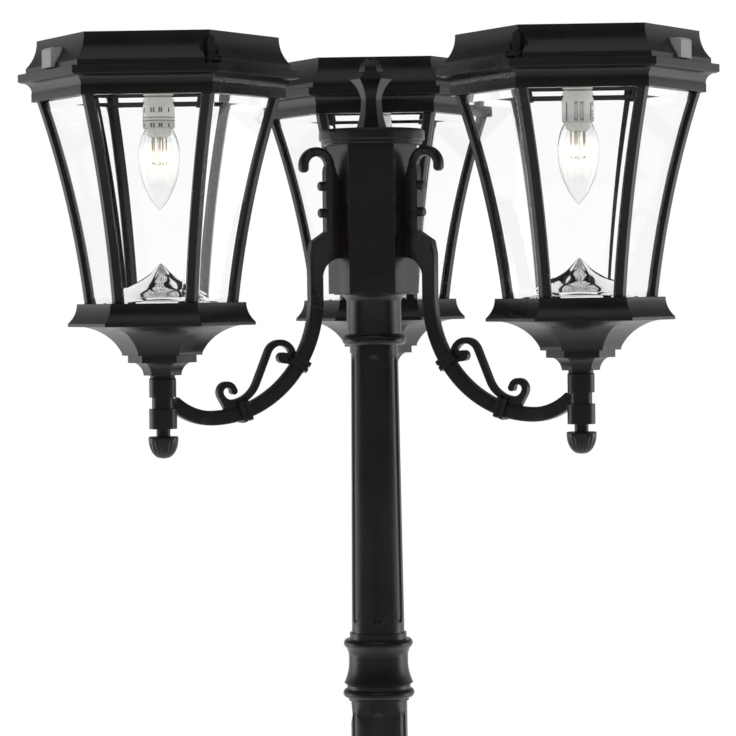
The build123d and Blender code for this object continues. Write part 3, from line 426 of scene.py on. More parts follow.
@dataclass(frozen=True)
class Moulded(Finish):
    """Opaque moulded plastic with a fine grain."""

    colour: tuple = (0.03, 0.03, 0.032, 1.0)
    roughness: tuple = (0.5, 0.65)
    grain_scale: float = 1500.0
    grain_depth: float = 0.00004

    def shade(self, graph: Graph) -> Socket:
        """Plastic with a grained bump. See Finish.shade."""
        grain = graph.noise(self.grain_scale)
        return graph.surface(Base_Color=self.colour, Roughness=graph.spread(grain, self.roughness),
                             Normal=graph.bump(grain, self.grain_depth, 0.3))


COAT = PowderCoat("satin_powder_coat", "powder_coat")
DARK_STEEL = PowderCoat("blackened_steel", "black_steel", roughness=(0.28, 0.36),
                        edge_radius=0.0004)
TUBE = BareMetal("drawn_tube", "inner_tube", roughness=(0.3, 0.42))
ZINC = BareMetal("zinc_plate", "zinc_steel", colour=(0.55, 0.56, 0.57, 1.0))
MIRROR = BareMetal("mirror_reflector", "bright_reflector", colour=(0.88, 0.88, 0.89, 1.0),
                   roughness=(0.02, 0.05), dull=0.96, grain_scale=45.0, grain_depth=0.0003)
BRIGHT_SHEET = BareMetal("bright_sheet", "bright_cover", colour=(0.78, 0.78, 0.79, 1.0),
                         roughness=(0.06, 0.12), dull=0.45, grain_scale=150.0,
                         grain_depth=0.0015)
NICKEL = BareMetal("nickel_cap", "zinc_steel", colour=(0.66, 0.62, 0.56, 1.0))
LEAD_WIRE = BareMetal("lead_wire", "zinc_steel", colour=(0.80, 0.72, 0.60, 1.0))
PANE_GLASS = ClearGlass("pane_glass", "clear_glass", tint=(0.992, 0.996, 0.995, 1.0), ior=1.25)
STEM_GLASS = ClearGlass("stem_glass", "bulb_glass")
BULB_GLASS = LitGlass("lit_bulb_glass", "bulb_glass", ripple_depth=0.0)
# The collar and the holder carry a painted glow for the lit bulb's light.
COLLAR = FrostedPlastic("frosted_collar", "frosted_plastic", transmission=0.4, painted_glow_strength=0.14,
                        slot_reach=0.0004)
SENSOR = FrostedPlastic("frosted_window", "frosted_plastic", colour=(0.55, 0.57, 0.56, 1.0),
                        transmission=0.15)
HOLDER = FrostedPlastic("frosted_holder", "frosted_plastic", transmission=0.4, painted_glow_strength=0.14)
ROD = GlowingRod("glowing_filament", "bulb_glass")
CELLS = SolarCells("solar_cells", "solar_glass")
CASE = Moulded("black_case", "pack_plastic")


# ---- surfaces

def in_scene(name: str, data: bpy.types.ID) -> bpy.types.Object:
    """Adds an object to the scene.

    Args:
        name: its name.
        data: its mesh, light or camera.

    Returns:
        The new object.
    """
    made = bpy.data.objects.new(name, data)
    bpy.context.scene.collection.objects.link(made)
    return made


@dataclass
class Surface:
    """A mesh in the making: its points, its faces and a flat place for each point.

    faces holds arrays of point numbers, each array for faces of one number of corners.
    """

    points: Array
    faces: list
    flat: Array

    def moved(self, turn: float = 0.0, shift: tuple = (0.0, 0.0, 0.0)) -> "Surface":
        """The same surface turned about +Z, then shifted.

        Args:
            turn: angle in radians.
            shift: x, y and z in metres.

        Returns:
            The moved surface.
        """
        c, s = math.cos(turn), math.sin(turn)
        spin = np.array([[c, s, 0.0], [-s, c, 0.0], [0.0, 0.0, 1.0]])
        return Surface(self.points @ spin + np.array(shift), self.faces, self.flat)

    def graded(self) -> "Surface":
        """The same surface, with the share of the height as its second flat place."""
        rise = self.points[:, 2] - self.points[:, 2].min()
        flat = np.stack([self.flat[:, 0], rise / rise.max()], axis=1)
        return Surface(self.points, self.faces, flat)

    @staticmethod
    def joined(parts: list) -> "Surface":
        """Several surfaces as one.

        Args:
            parts: the surfaces.

        Returns:
            The surface that holds them all.
        """
        faces, base = [], 0
        for part in parts:
            faces += [block + base for block in part.faces]
            base += len(part.points)
        return Surface(np.vstack([p.points for p in parts]), faces,
                       np.vstack([p.flat for p in parts]))

    def piece(self, name: str, finish: Finish, body: str, stands_for: tuple = (),
              crease: float = 30.0) -> None:
        """Makes the surface a piece of the scene.

        Args:
            name: the piece's name.
            finish: its finish.
            body: the moving body that it rides on.
            stands_for: names of the solids that it is shown for.
            crease: edges sharper than this many degrees stay sharp.
        """
        mesh = bpy.data.meshes.new(name)
        self.fill(mesh)
        layer = mesh.uv_layers.new(name="flat")
        corner = np.zeros(len(mesh.loops), np.int32)
        mesh.loops.foreach_get("vertex_index", corner)
        layer.data.foreach_set("uv", self.flat[corner].astype(np.float32).ravel())
        mesh.shade_smooth()
        mesh.set_sharp_from_angle(angle=math.radians(crease))
        mesh.materials.append(finish.material())
        made = in_scene(name, mesh)
        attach(made, body)
        if stands_for:
            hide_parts(*stands_for)
        log.info("%s: %d faces on %s", name, len(mesh.polygons), body)

    def fill(self, mesh: bpy.types.Mesh) -> None:
        """Puts the points and faces into an empty mesh."""
        faces = [face for block in self.faces for face in block.tolist()]
        mesh.from_pydata(self.points.tolist(), [], faces)


def quads(rows: int, columns: int) -> Array:
    """Faces of a grid of points stored row by row, each row closed on itself.

    Args:
        rows: number of rows.
        columns: points in a row.

    Returns:
        Rows of four point numbers, turning left as seen from outside when the rows rise.
    """
    i, j = np.meshgrid(np.arange(rows - 1), np.arange(columns), indexing="ij")
    k = (j + 1) % columns
    corners = np.stack([i * columns + j, i * columns + k, (i + 1) * columns + k,
                        (i + 1) * columns + j], axis=-1)
    return corners.reshape(-1, 4)


def shares(profile: Array) -> Array:
    """Each row's share of the profile's length: the sum of the steps before it over them all."""
    steps = np.hypot(*np.diff(profile, axis=0).T)
    return np.concatenate([[0.0], np.cumsum(steps)]) / steps.sum()


def lathed(profile: Array, segments: int = 96,
           ripple: Callable[[Array, Array], Array] | None = None) -> Surface:
    """Surface of revolution about +Z.

    Point (i, j) stands at radius r_i, height z_i and angle 2 pi j / segments, the radius
    multiplied by ripple(angle, share of the profile's length). A row whose radius is nil
    becomes one point. The profile runs up its outer side, so that the faces point outwards.

    Args:
        profile: (radius, height) rows.
        segments: points round.
        ripple: factor on the radius by angle and by share of the length.

    Returns:
        The surface; its flat places are the share round and the share of the length.
    """
    angle = 2 * np.pi * np.arange(segments) / segments
    around, along = np.meshgrid(angle, shares(profile))
    radius = np.repeat(profile[:, :1], segments, axis=1)
    if ripple is not None:
        radius = radius * ripple(around, along)
    height = np.repeat(profile[:, 1:], segments, axis=1)
    points = np.stack([radius * np.cos(around), radius * np.sin(around), height], axis=-1)
    flat = np.stack([around / (2 * np.pi), along], axis=-1).reshape(-1, 2)
    number = np.arange(len(flat)).reshape(-1, segments)
    number[np.abs(profile[:, 0]) < NIL] = number[np.abs(profile[:, 0]) < NIL, :1]
    used, place = np.unique(number, return_inverse=True)
    corners = place.ravel()[quads(len(profile), segments)]
    low, high = corners[:, 0] == corners[:, 1], corners[:, 2] == corners[:, 3]
    faces = [corners[~(low | high)], corners[low & ~high][:, [0, 2, 3]],
             corners[high & ~low][:, :3]]
    return Surface(points.reshape(-1, 3)[used], faces, flat[used])


def outline(*parts: tuple) -> Array:
    """(radius, height) rows from parts: rows of (radius, rise) in mm, and where they start."""
    return np.vstack([np.array(rows) * MM + (0.0, start) for rows, start in parts])


def curve_through(knots: Array, steps: int) -> Array:
    """Smooth line through the knots: a Catmull-Rom spline, level with its end chords.

    Between knots b and c, with neighbours a and d, the point at share t is half of
    2b + (c - a)t + (2a - 5b + 4c - d)t^2 + (3b - a - 3c + d)t^3.

    Args:
        knots: (radius, height) rows.
        steps: points between two knots.

    Returns:
        (radius, height) rows.
    """
    k = np.vstack([2 * knots[0] - knots[1], knots, 2 * knots[-1] - knots[-2]])
    a, b, c, d = (k[i:len(k) - 3 + i, None, :] for i in range(4))
    t = np.linspace(0.0, 1.0, steps, endpoint=False)[None, :, None]
    line = 0.5 * (2 * b + (c - a) * t + (2 * a - 5 * b + 4 * c - d) * t ** 2
                  + (3 * b - a - 3 * c + d) * t ** 3)
    return np.vstack([line.reshape(-1, 2), k[-2]])


def arc_radius(places: Array, heights: Array) -> Array:
    """Distance from the axis, at each height, of the arc through three places.

    The arc's centre is where the chords' middle lines meet; the distance is the centre's
    less the root of its radius squared less the height above the centre squared.

    Args:
        places: three (radius, height) rows.
        heights: the heights asked for.

    Returns:
        The distances.
    """
    squares = (places ** 2).sum(axis=1)
    centre = np.linalg.solve(places[1:] - places[0], 0.5 * (squares[1:] - squares[0]))
    radius = math.hypot(*(places[0] - centre))
    return centre[0] - np.sqrt(radius ** 2 - (heights - centre[1]) ** 2)


def six_sided(profile: Array) -> Surface:
    """Surface like lathed, round a six-sided shape whose sides face 0, 60, 120 degrees.

    A row's corners stand at its radius; the points between lie on the straight sides.

    Args:
        profile: (radius to a corner, height) rows.

    Returns:
        The surface; its flat places are the points' own x and y.
    """
    def side(around: Array, along: Array) -> Array:
        """The cosine of half a side's angle, over that of the angle off the side's middle."""
        off = (around + SIXTH / 2) % SIXTH - SIXTH / 2
        return math.cos(SIXTH / 2) / np.cos(off)

    made = lathed(profile, 48, side)
    return Surface(made.points, made.faces, made.points[:, :2].copy())


# ---- carried solids

class Carried:
    """Solids of the frame that are shown as they are, under a finish."""

    smooth_group: bpy.types.NodeTree | None = None
    sharp_from: float = math.radians(25)
    weld_reach: float = 0.005 * MM

    @classmethod
    def smoothing(cls) -> bpy.types.NodeTree:
        """The geometry nodes that shade a mesh smooth, all but its sharper edges."""
        if cls.smooth_group is None:
            tree = bpy.data.node_groups.new("smooth_by_angle", "GeometryNodeTree")
            for way in ("INPUT", "OUTPUT"):
                tree.interface.new_socket("Geometry", in_out=way,
                                          socket_type="NodeSocketGeometry")
            new = tree.nodes.new
            gentle = new("FunctionNodeCompare")
            gentle.data_type, gentle.operation = "FLOAT", "LESS_EQUAL"
            gentle.inputs[1].default_value = cls.sharp_from
            edges, sides = (new("GeometryNodeSetShadeSmooth") for _ in range(2))
            edges.domain, sides.domain = "EDGE", "FACE"
            for out, into in (
                    (new("GeometryNodeInputMeshEdgeAngle").outputs["Unsigned Angle"],
                     gentle.inputs[0]),
                    (new("NodeGroupInput").outputs[0], edges.inputs["Geometry"]),
                    (gentle.outputs[0], edges.inputs["Shade Smooth"]),
                    (edges.outputs[0], sides.inputs["Geometry"]),
                    (sides.outputs[0], new("NodeGroupOutput").inputs[0])):
                tree.links.new(out, into)
            cls.smooth_group = tree
        return cls.smooth_group

    @classmethod
    def dress(cls, finish: Finish, *names: str) -> None:
        """Welds, smooths and finishes solids of the frame.

        Args:
            finish: their finish.
            names: the nodes' names.
        """
        for name in names:
            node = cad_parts[name]
            node.data.materials.clear()
            node.data.materials.append(finish.material())
            weld = node.modifiers.new("weld", "WELD")
            weld.merge_threshold = cls.weld_reach
            node.modifiers.new("smooth", "NODES").node_group = cls.smoothing()
            log.info("%s: carried as %s", name, finish.name)


# ---- sub-assemblies

@dataclass
class Post:
    """Base, poles, collars, the sleeves inside them, the hub and its finial."""

    cast: tuple = ("base_casting", "lower_pole", "middle_pole", "upper_pole", "lower_collar",
                   "upper_collar", "hub_body", "hub_cap", "finial")

    def build(self) -> None:
        """Dresses every piece of the post."""
        Carried.dress(COAT, *self.cast)
        Carried.dress(TUBE, "pole_couplers")
        Carried.dress(ZINC, "finial_stud")
        Carried.dress(DARK_STEEL, "arm_bolts")


@dataclass
class Seat:
    """Where a lantern stands: its axis and its outward turn."""

    side: Side
    centre: Vector = field(init=False)
    turn: float = field(init=False)

    def __post_init__(self) -> None:
        """Finds the axis from the bulb's box."""
        low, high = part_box(f"{self.side.value}_bulb")
        self.centre = (low + high) / 2
        self.turn = math.atan2(self.centre.y, self.centre.x)

    def set_in(self, surface: Surface) -> Surface:
        """A surface worked out about the lantern's own axis, put in its place."""
        return surface.moved(self.turn, (self.centre.x, self.centre.y, 0.0))


@dataclass
class Arms:
    """The three arms with their scrolls, sleeves, studs and ribbed acorn nuts."""

    seats: list
    collar_drop: float = 7.3 * MM
    point: tuple = ((0.0, 0.0), (5.964, 1.3), (10.508, 5.5), (13.206, 11.5))
    ball_end: tuple = ((14.129, -3.6),)
    collar: tuple = ((14.2, -2.6), (14.2, -0.8), (13.2, 0.0), (6.6, 0.0))
    neck: tuple = ((6.6, 0.0), (0.0, 0.0))
    ribs: int = 16
    rib_depth: float = 0.055
    rib_span: float = 0.52
    rib_swell: float = 1.6

    def build(self) -> None:
        """Dresses the castings and builds the nuts."""
        Carried.dress(COAT, *[f"{seat.side.value}_arm" for seat in self.seats])
        Carried.dress(COAT, "scrolls", "support_sleeves")
        Carried.dress(ZINC, "lamp_studs")
        self.acorn_nuts()

    def acorn_nuts(self) -> None:
        """Cap nuts: a neck, a flat collar and a round end with upright ribs.

        The radius is the profile's, less a share that rises and falls ribs times round and
        fades towards the point and the collar.
        """
        low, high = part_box("acorn_nuts")
        collar = high.z - self.collar_drop
        ball = curve_through(outline((self.point, low.z), (self.ball_end, collar)), 8)
        profile = np.vstack([ball, outline((self.collar, collar), (self.neck, high.z))])

        def ribbed(around: Array, along: Array) -> Array:
            """One less the share that the ribs take, at each point."""
            share = np.clip(along / self.rib_span, 0.0, 1.0)
            fade = np.clip(np.sin(np.pi * share) * self.rib_swell, 0.0, 1.0)
            dip = 0.5 - 0.5 * np.cos(self.ribs * around)
            return 1.0 - self.rib_depth * fade * dip ** 3

        nut = lathed(profile, 12 * self.ribs, ribbed)
        nuts = [nut.moved(0.0, (seat.centre.x, seat.centre.y, 0.0)) for seat in self.seats]
        Surface.joined(nuts).piece("acorn_nuts_ribbed", COAT, "root", ("acorn_nuts",))


@dataclass
class Lantern:
    """One lantern: its body, its glazing, its lid and what hangs from the lid.

    Its outlines are rows of radius and rise in millimetres. See outline.
    """

    seat: Seat
    pane_mid_radius: float = 90.6 * MM
    pane_mid_drop: float = 88.0 * MM
    pane_foot_radius: float = 73.0 * MM
    pane_inset: float = 2.7 * MM
    pane_edge: float = 2.3 * MM
    pane_thick: float = 3.0 * MM
    pane_rows: int = 25
    bevel_width: float = 7.5 * MM
    bevel_depth: float = 1.5 * MM
    panel_radius: float = 104.0 * MM
    panel_edge: float = 0.8 * MM
    holder_radius: float = 15.1 * MM
    holder_foot: tuple = ((13.3, 0.0), (14.2, 0.0), (14.9, 0.3))
    holder_waist: tuple = ((15.1, 19.9), (14.6, 22.0), (13.7, 24.0), (13.0, 25.2), (12.6, 25.5),
                           (12.6, 26.2), (14.3, 26.4), (13.7, 29.0))
    holder_flange: tuple = ((12.9, -3.3), (19.3, -3.3), (19.3, 0.0), (0.0, 0.0))
    bore_end: tuple = ((0.0, -4.3), (10.7, -4.3))
    bore_step: tuple = ((10.7, 6.3), (13.3, 6.3), (13.3, 0.0))
    slot_depth: float = 1.5 * MM
    slot_side: float = 0.1 * MM
    slot_span: tuple = (1.0 * MM, 18.4 * MM)
    dash_spans: tuple = ((0.7 * MM, 4.4 * MM), (14.8 * MM, 19.2 * MM))
    ring_spans: tuple = ((6.6 * MM, 7.6 * MM), (9.4 * MM, 10.4 * MM))
    ring_turns: tuple = (-15.0, 150.0)
    slots: tuple = ((-107.0, 3.0), (-69.0, 6.5), (-48.0, 6.5), (-9.0, 3.0))
    dashes: tuple = ((5.0, 2.5), (38.0, 2.5), (48.0, 2.5), (68.0, 2.5), (76.0, 2.5),
                     (105.0, 2.5))
    glass_length: float = 82.5 * MM
    glass_wall: float = 0.6 * MM
    glass_least: float = 0.2 * MM
    glass: tuple = ((0.0, 0.0), (1.176, 0.4), (5.292, 5.0), (8.918, 10.0), (11.76, 16.0),
                    (14.602, 22.0), (17.052, 30.0), (18.914, 40.0), (19.6, 51.5),
                    (18.816, 60.0), (16.856, 68.0), (14.7, 73.0), (13.0, 76.5), (13.0, 82.5))
    cap_foot: tuple = ((0.0, -0.5), (10.2, -0.5), (9.6, 1.4))
    cap_end: tuple = ((8.64, -4.4), (4.6, -2.4), (3.4, -1.9), (3.0, -0.3), (0.0, 0.0))
    thread_radius: float = 9.6 * MM
    thread_swing: float = 0.7 * MM
    thread_pitch: float = 3.0 * MM
    thread_ends: tuple = (1.5 * MM, -5.0 * MM)
    thread_rows: int = 60
    rods: int = 5
    rod_ring: float = 6.9 * MM
    rod: tuple = ((0.0, -39.5), (0.7, -39.5), (0.7, -9.0), (0.0, -9.0))
    lead_drop: float = 39.8 * MM
    lead_start: float = 0.8 * MM
    lead_radius: float = 0.2 * MM
    stem: tuple = ((0.0, -40.7), (1.1, -40.1), (1.3, -28.7), (1.6, -18.0), (4.0, -11.0),
                   (5.0, -4.0), (5.0, -0.6), (0.0, -0.5))
    collar_wall: tuple = ((7.06, -14.6), (8.26, -14.6), (11.8, -11.6), (11.8, -0.8),
                          (10.6, -0.8), (10.6, -11.6), (7.06, -14.6))
    teeth: int = 10
    tooth_depth: float = 0.10

    @property
    def name(self) -> str:
        """The lantern's name."""
        return self.seat.side.value

    @property
    def neck(self) -> float:
        """Height where the bulb's glass enters its cap."""
        return self.heights("bulb")[0] + self.glass_length

    def heights(self, part: str) -> tuple:
        """Lowest and highest point of one of the lantern's solids."""
        low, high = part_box(f"{self.name}_{part}")
        return low.z, high.z

    def put(self, surface: Surface, part: str, finish: Finish, body: str,
            solid: str = "", crease: float = 30.0) -> None:
        """Makes a surface one of the lantern's pieces. See Surface.piece.

        Args:
            surface: the surface, about the lantern's own axis.
            part: the piece's name within the lantern.
            finish: its finish.
            body: the lantern's moving body that it rides on, or none for the root.
            solid: the lantern's solid that it is shown for, if any.
            crease: edges sharper than this many degrees stay sharp.
        """
        self.seat.set_in(surface).piece(
            f"{self.name}_{part}", finish, f"{self.name}_{body}" if body else "root",
            (f"{self.name}_{solid}",) if solid else (), crease)

    def build(self) -> None:
        """Builds and dresses every piece of the lantern."""
        for finish, *parts in (
                (COAT, "base_pan", "mullions", "crown_band", "latch_a", "latch_b", "lid"),
                (SENSOR, "sensor_window"), (BRIGHT_SHEET, "inner_cover"), (CASE, "power_pack")):
            Carried.dress(finish, *[f"{self.name}_{part}" for part in parts])
        for build in (self.panes, self.solar_panel, self.holder, self.bulb_shell, self.bulb_cap,
                      self.filaments, self.collar):
            build()

    def panes(self) -> None:
        """Six bent panes with a bevel round the outer face of each.

        At height z the outer face lies at the arc's distance from the axis and reaches
        half_width = (distance - 2 edge) tan 30 to each side. The face steps back by
        bevel_depth times one less the distance to the nearest border over bevel_width.
        """
        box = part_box(f"{self.name}_glass_panes")
        low, high, to_flat = box[0].z, box[1].z, math.cos(SIXTH / 2)
        levels = np.linspace(low + self.bevel_width, high - self.bevel_width, self.pane_rows)
        heights = np.concatenate([[low], levels, [high]])
        distance = arc_radius(np.array([
            ((box[1].y - box[0].y) / 2, high),
            (self.pane_mid_radius * to_flat - self.pane_inset, high - self.pane_mid_drop),
            (self.pane_foot_radius * to_flat - self.pane_inset, low)]), heights)
        half = (distance - 2 * self.pane_edge) * math.tan(SIXTH / 2)
        across = np.stack([-half, -half + self.bevel_width, np.zeros_like(half),
                           half - self.bevel_width, half], axis=1)
        to_side = (half[:, None] - np.abs(across)) / self.bevel_width
        to_end = np.minimum(heights - low, high - heights)[:, None] / self.bevel_width
        inside = np.clip(np.minimum(to_side, to_end), 0.0, 1.0)
        outer, inner = (
            np.stack(np.broadcast_arrays(distance[:, None] - back, across, heights[:, None]),
                     axis=-1) for back in (self.bevel_depth * (1.0 - inside), self.pane_thick))
        shell = np.concatenate([outer, inner[:, ::-1]], axis=1)
        rows, columns = shell.shape[:2]
        j = np.arange(across.shape[1] - 1)
        foot = np.stack([columns - 1 - j, columns - 2 - j, j + 1, j], axis=1)
        head = foot[:, ::-1] + (rows - 1) * columns
        points = shell.reshape(-1, 3)
        pane = Surface(points, [quads(rows, columns), foot, head], points[:, 1:].copy())
        self.put(Surface.joined([pane.moved(i * SIXTH) for i in range(6)]), "bevelled_panes",
                 PANE_GLASS, "", "glass_panes", crease=4.0)

    def solar_panel(self) -> None:
        """Six-sided plate with a slim ground edge, its cells laid out on x and y."""
        low, high = self.heights("solar_panel")
        radius, edge = self.panel_radius, self.panel_edge
        plate = six_sided(np.array([
            (0.0, low), (radius, low), (radius, (low + high) / 2), (radius, high - edge),
            (radius - edge, high), (0.0, high)]))
        self.put(plate, "cell_plate", CELLS, "lid_body", "solar_panel")

    def holder(self) -> None:
        """Frosted bulb holder: a flange, a waisted neck and a slotted barrel.

        The radius is the profile's, less the slot depth where the angle and the height lie
        in a slot, and less half that depth in the two rings, on the side of the short slots.
        Spans are heights over the foot; slots and dashes have their middle and half width in
        degrees.
        """
        low, high = self.heights("bulb_holder")
        cuts = np.array([self.slot_span, *self.dash_spans, *self.ring_spans]).ravel()
        steps = np.sort(np.concatenate([cuts - self.slot_side, cuts + self.slot_side]))
        outer = np.vstack([
            outline((self.holder_foot, low)),
            np.stack([np.full(len(steps), self.holder_radius), low + steps], axis=1),
            outline((self.holder_waist, low), (self.holder_flange, high))])
        inner = outline((self.bore_end, high), (self.bore_step, low))
        heights, share = outer[:, 1] - low, shares(outer)

        def between(value: Array, spans: tuple) -> Array:
            """Whether each value lies within one of the spans."""
            return np.any([(value > a) & (value < b) for a, b in spans], axis=0)

        def round_at(turn: Array, cut: tuple) -> Array:
            """Whether each turn lies within one of the cuts."""
            return between(turn, tuple((middle - half, middle + half) for middle, half in cut))

        def slotted(around: Array, along: Array) -> Array:
            """One less the share of the radius that slots and rings take, at each point."""
            height = np.interp(along, share, heights)
            turn = (np.degrees(around) + 180.0) % 360.0 - 180.0
            rings = between(turn, (self.ring_turns,)) & between(height, self.ring_spans)
            deep = ((round_at(turn, self.slots) & between(height, (self.slot_span,)))
                    | (round_at(turn, self.dashes) & between(height, self.dash_spans)))
            return 1.0 - self.slot_depth * np.maximum(deep, 0.5 * rings) / self.holder_radius

        shell = Surface.joined([lathed(outer, 360, slotted), lathed(inner, 360)])
        self.put(shell, "ribbed_holder", HOLDER, "lid_body", "bulb_holder")

    def bulb_shell(self) -> None:
        """Thin glass: a smooth candle outline outside, and the same one less the wall inside."""
        outer = curve_through(outline((self.glass, self.neck - self.glass_length)), 10)
        outer[:, 0] = np.maximum(outer[:, 0], 0.0)
        slope = np.gradient(outer, axis=0)
        slope /= np.linalg.norm(slope, axis=1)[:, None]
        inner = outer - self.glass_wall * np.stack([slope[:, 1], -slope[:, 0]], axis=1)
        inner = inner[inner[:, 0] > self.glass_least][::-1]
        inner = np.vstack([inner, [(0.0, inner[-1, 1] - self.glass_least / 2)]])
        shell = lathed(np.vstack([outer, inner]), 64).graded()
        self.put(shell, "bulb_glass", BULB_GLASS, "bulb_body", "bulb")

    def bulb_cap(self) -> None:
        """Screw cap: a rounded thread of six turns' height and a contact button.

        The thread's radius is the cap's plus a wave that climbs one pitch in each turn.
        """
        neck, end = self.neck, self.heights("bulb")[1]
        levels = np.linspace(neck + self.thread_ends[0], end + self.thread_ends[1],
                             self.thread_rows)
        profile = np.vstack([
            outline((self.cap_foot, neck)),
            np.stack([np.full_like(levels, self.thread_radius), levels], axis=1),
            outline((self.cap_end, end))])
        heights, share = profile[:, 1], shares(profile)

        def thread(around: Array, along: Array) -> Array:
            """One more the share of the radius that the thread adds, at each point."""
            height = np.interp(along, share, heights)
            on = (height > levels[0]) & (height < levels[-1])
            wave = np.cos(2 * np.pi * (height / self.thread_pitch) - around)
            return 1.0 + on * self.thread_swing * wave / self.thread_radius

        self.put(lathed(profile, 48, thread), "bulb_cap", NICKEL, "bulb_body")

    def filaments(self) -> None:
        """Upright rods in a ring, a glass stem between them and a star of leads at their foot."""
        neck, lead = self.neck, self.lead()
        rod = lathed(outline((self.rod, neck)), 12).graded()
        rods, leads = [], []
        for i in range(self.rods):
            turn = 2 * np.pi * i / self.rods
            at = (self.rod_ring * math.cos(turn), self.rod_ring * math.sin(turn), 0.0)
            rods.append(rod.moved(0.0, at))
            leads.append(lead.moved(turn, (0.0, 0.0, neck - self.lead_drop)))
        stem = lathed(curve_through(outline((self.stem, neck)), 5), 24)
        self.put(Surface.joined(rods), "filament_rods", ROD, "bulb_body")
        self.put(Surface.joined(leads), "filament_leads", LEAD_WIRE, "bulb_body")
        self.put(stem, "glass_stem", STEM_GLASS, "bulb_body")

    def lead(self) -> Surface:
        """A wire along +X at height nil from the stem to a rod: a thin rod laid down."""
        wire = lathed(np.array([(0.0, self.lead_start), (self.lead_radius, self.lead_start),
                                (self.lead_radius, self.rod_ring), (0.0, self.rod_ring)]), 8)
        lying = np.stack([wire.points[:, 2], wire.points[:, 1], -wire.points[:, 0]], axis=1)
        return Surface(lying, wire.faces, wire.flat)

    def collar(self) -> None:
        """Frosted collar inside the glass's top, drawn in at its foot and toothed all round."""
        ring = lathed(outline((self.collar_wall, self.neck)), 24 * self.teeth, self.toothed)
        self.put(ring, "bulb_collar", COLLAR, "bulb_body")

    def toothed(self, around: Array, along: Array) -> Array:
        """Factor on the collar's radius: less tooth_depth in every other step round."""
        return 1.0 - self.tooth_depth * (np.cos(self.teeth * around) < 0.0)


@dataclass
class Reflectors:
    """The mirror cones on the lanterns' floors, and the latch pins in their crowns."""

    seats: list
    rim: tuple = ((0.0, 0.0), (55.0, 0.0), (55.0, 1.6), (54.4, 2.2), (52.0, 2.4), (50.8, 3.0))
    cone: tuple = ((47.0, 5.4), (44.0, 6.5), (36.8, 11.8), (20.8, 21.0), (10.4, 28.1),
                   (4.0, 34.6))
    point: tuple = ((1.2, -0.4), (0.0, 0.0))

    def build(self) -> None:
        """Builds the cones and dresses the pins."""
        low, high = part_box("reflectors")
        cone = curve_through(outline((self.cone, low.z), (self.point, high.z)), 12)
        cup = lathed(np.vstack([outline((self.rim, low.z)), cone]), 128)
        cups = [seat.set_in(cup) for seat in self.seats]
        Surface.joined(cups).piece("mirror_cones", MIRROR, "root", ("reflectors",))
        Carried.dress(ZINC, "latch_pins")


# ---- studio

@dataclass(frozen=True)
class SoftBox:
    """A square area light that faces the object."""

    name: str
    place: tuple
    size: float
    power: float
    aim: tuple = (0.0, 0.0, 1.6)

    def build(self) -> None:
        """Adds the light."""
        data = bpy.data.lights.new(self.name, "AREA")
        data.shape, data.size, data.energy = "SQUARE", self.size, self.power
        lamp = in_scene(self.name, data)
        lamp.location = self.place
        towards = Vector(self.aim) - Vector(self.place)
        lamp.rotation_euler = towards.to_track_quat("-Z", "Y").to_euler()


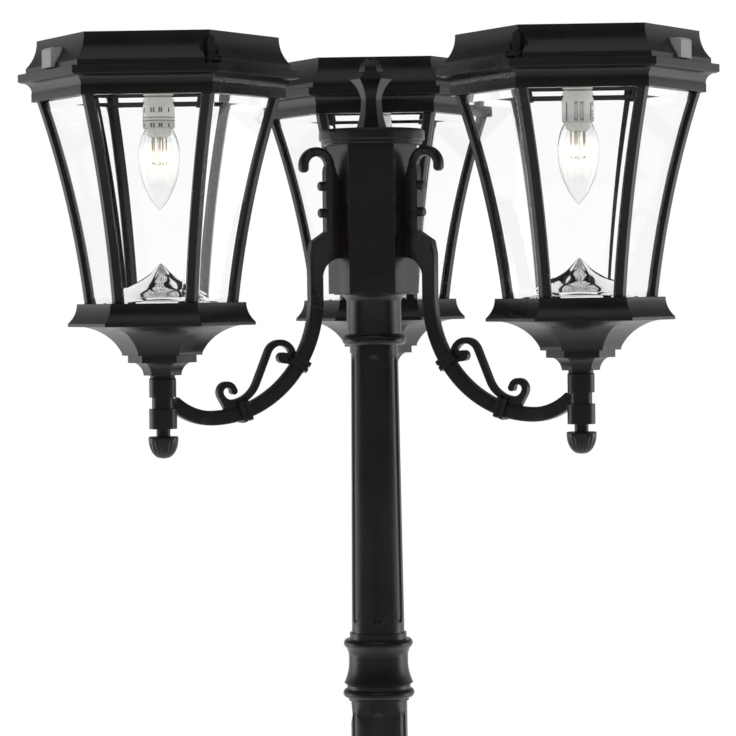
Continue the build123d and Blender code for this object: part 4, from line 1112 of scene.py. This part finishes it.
@dataclass
class Studio:
    """Pale floor, a sky that is bright behind the object, soft boxes and the camera."""

    floor_radius: float = 9.0
    floor_levels: tuple = (-0.02, -0.001)
    floor_colour: tuple = (0.86, 0.86, 0.86, 1.0)
    floor_seen: float = 0.6
    floor_mirrored: float = 0.95
    floor_ahead: float = 0.1
    floor_fade: tuple = (-1.3, -0.25)
    sky_fade: tuple = (-0.15, 0.35)
    sky_rise: tuple = (0.05, 0.45)
    behind: float = 0.7
    above: float = 0.12
    ahead: float = 0.18
    ambient: float = 0.42
    photo_pixels: float = 736.0
    focal_pixels: float = 2991.33
    stand_off: float = 2.93527
    side_step: float = -0.00201
    eye_below_brim: float = 0.21116
    object_turn: float = 1.725
    yaw: float = 0.09
    pitch: float = -1.415
    roll: float = -0.755
    boxes: tuple = (
        SoftBox("left_box", (-3.4, 0.9, 1.3), 1.8, 15.0),
        SoftBox("right_box", (3.4, 0.9, 1.3), 1.8, 15.0),
        SoftBox("overhead_box", (0.0, -1.2, 4.6), 2.2, 8.0),
    )

    def build(self) -> None:
        """Sets the floor, the lights, the sky and the camera."""
        self.floor()
        for box in self.boxes:
            box.build()
        self.sky()
        self.camera()
        bpy.context.scene.view_settings.view_transform = "Standard"

    def floor(self) -> None:
        """A round pale floor that takes the object's shadow.

        The eye sees it partly as plain light. So do mirrored rays, by floor_ahead at
        floor_fade's first y and by floor_mirrored from its second one on.
        """
        under, top = self.floor_levels
        disc = lathed(np.array([(0.0, under), (self.floor_radius, under),
                                (self.floor_radius, top), (0.0, top)]))
        mesh = bpy.data.meshes.new("floor")
        disc.fill(mesh)
        paint = bpy.data.materials.new("floor_paint")
        paint.use_nodes = True
        graph = Graph(paint.node_tree)
        matt = graph.add("BsdfDiffuse", Color=self.floor_colour).outputs[0]
        glow = graph.add("Emission", Color=WHITE, Strength=1.0).outputs[0]
        path = graph.add("LightPath")
        seen = graph.product(path.outputs[Rays.CAMERA.value], self.floor_seen)
        place = graph.add("SeparateXYZ", graph.add("TexCoord").outputs["Object"])
        mirrored = graph.product(path.outputs[Rays.MIRRORED.value],
                                 graph.ramp(place.outputs[1], self.floor_fade,
                                            (self.floor_ahead, self.floor_mirrored)))
        mix = graph.add("MixShader", graph.math("MAXIMUM", seen, mirrored), matt, glow)
        graph.add("OutputMaterial", Surface=mix.outputs[0])
        mesh.materials.append(paint)
        in_scene("floor", mesh)

    def sky(self) -> None:
        """White for the eye and through glass; mirrored rays see it bright low and behind.

        For them it goes from ahead to behind over sky_fade in y, and from all of that to
        above's share of it over sky_rise in z.
        """
        world = bpy.data.worlds.new("sky")
        bpy.context.scene.world = world
        world.use_nodes = True
        graph = Graph(world.node_tree)
        path = graph.add("LightPath")
        way = graph.add("SeparateXYZ", graph.add("TexCoord").outputs["Generated"])
        mirrored = graph.product(
            path.outputs[Rays.MIRRORED.value],
            graph.ramp(way.outputs[1], self.sky_fade, (self.ahead, self.behind)),
            graph.ramp(way.outputs[2], self.sky_rise, (1.0, self.above)))
        seen = graph.math("MAXIMUM", path.outputs[Rays.CAMERA.value],
                          path.outputs[Rays.THROUGH_GLASS.value])
        plain = graph.ramp(path.outputs[Rays.MIRRORED.value], (0.0, 1.0), (self.ambient, 0.0))
        level = graph.math("MAXIMUM", seen, graph.math("ADD", plain, mirrored))
        light = graph.add("Background", Color=WHITE, Strength=level)
        graph.add("OutputWorld", Surface=light.outputs[0])

    def camera(self) -> None:
        """The camera at the photograph's place, with its lens and its slight tilt."""
        data = bpy.data.cameras.new("photo_camera")
        data.sensor_width = 36.0
        data.lens = data.sensor_width * self.focal_pixels / self.photo_pixels
        data.clip_end = 100.0
        camera = in_scene("photo_camera", data)
        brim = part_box("left_lid")[0].z
        turn = math.radians(self.object_turn)
        place = Vector((self.side_step, -self.stand_off, 0.0))
        place.rotate(Euler((0.0, 0.0, turn)))
        place.z = brim - self.eye_below_brim
        heading = turn + math.radians(self.yaw)
        look = (Matrix.Rotation(heading, 4, "Z")
                @ Matrix.Rotation(math.radians(90.0 + self.pitch), 4, "X")
                @ Matrix.Rotation(math.radians(self.roll), 4, "Z"))
        camera.matrix_world = Matrix.Translation(place) @ look
        bpy.context.scene.camera = camera


def main() -> None:
    """Builds the lamp post and its studio."""
    logging.basicConfig(level=logging.INFO, format="%(message)s")
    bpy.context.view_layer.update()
    seats = [Seat(side) for side in Side]
    Post().build()
    Arms(seats).build()
    for seat in seats:
        Lantern(seat).build()
    Reflectors(seats).build()
    Studio().build()


if __name__ == "__main__":
    main()
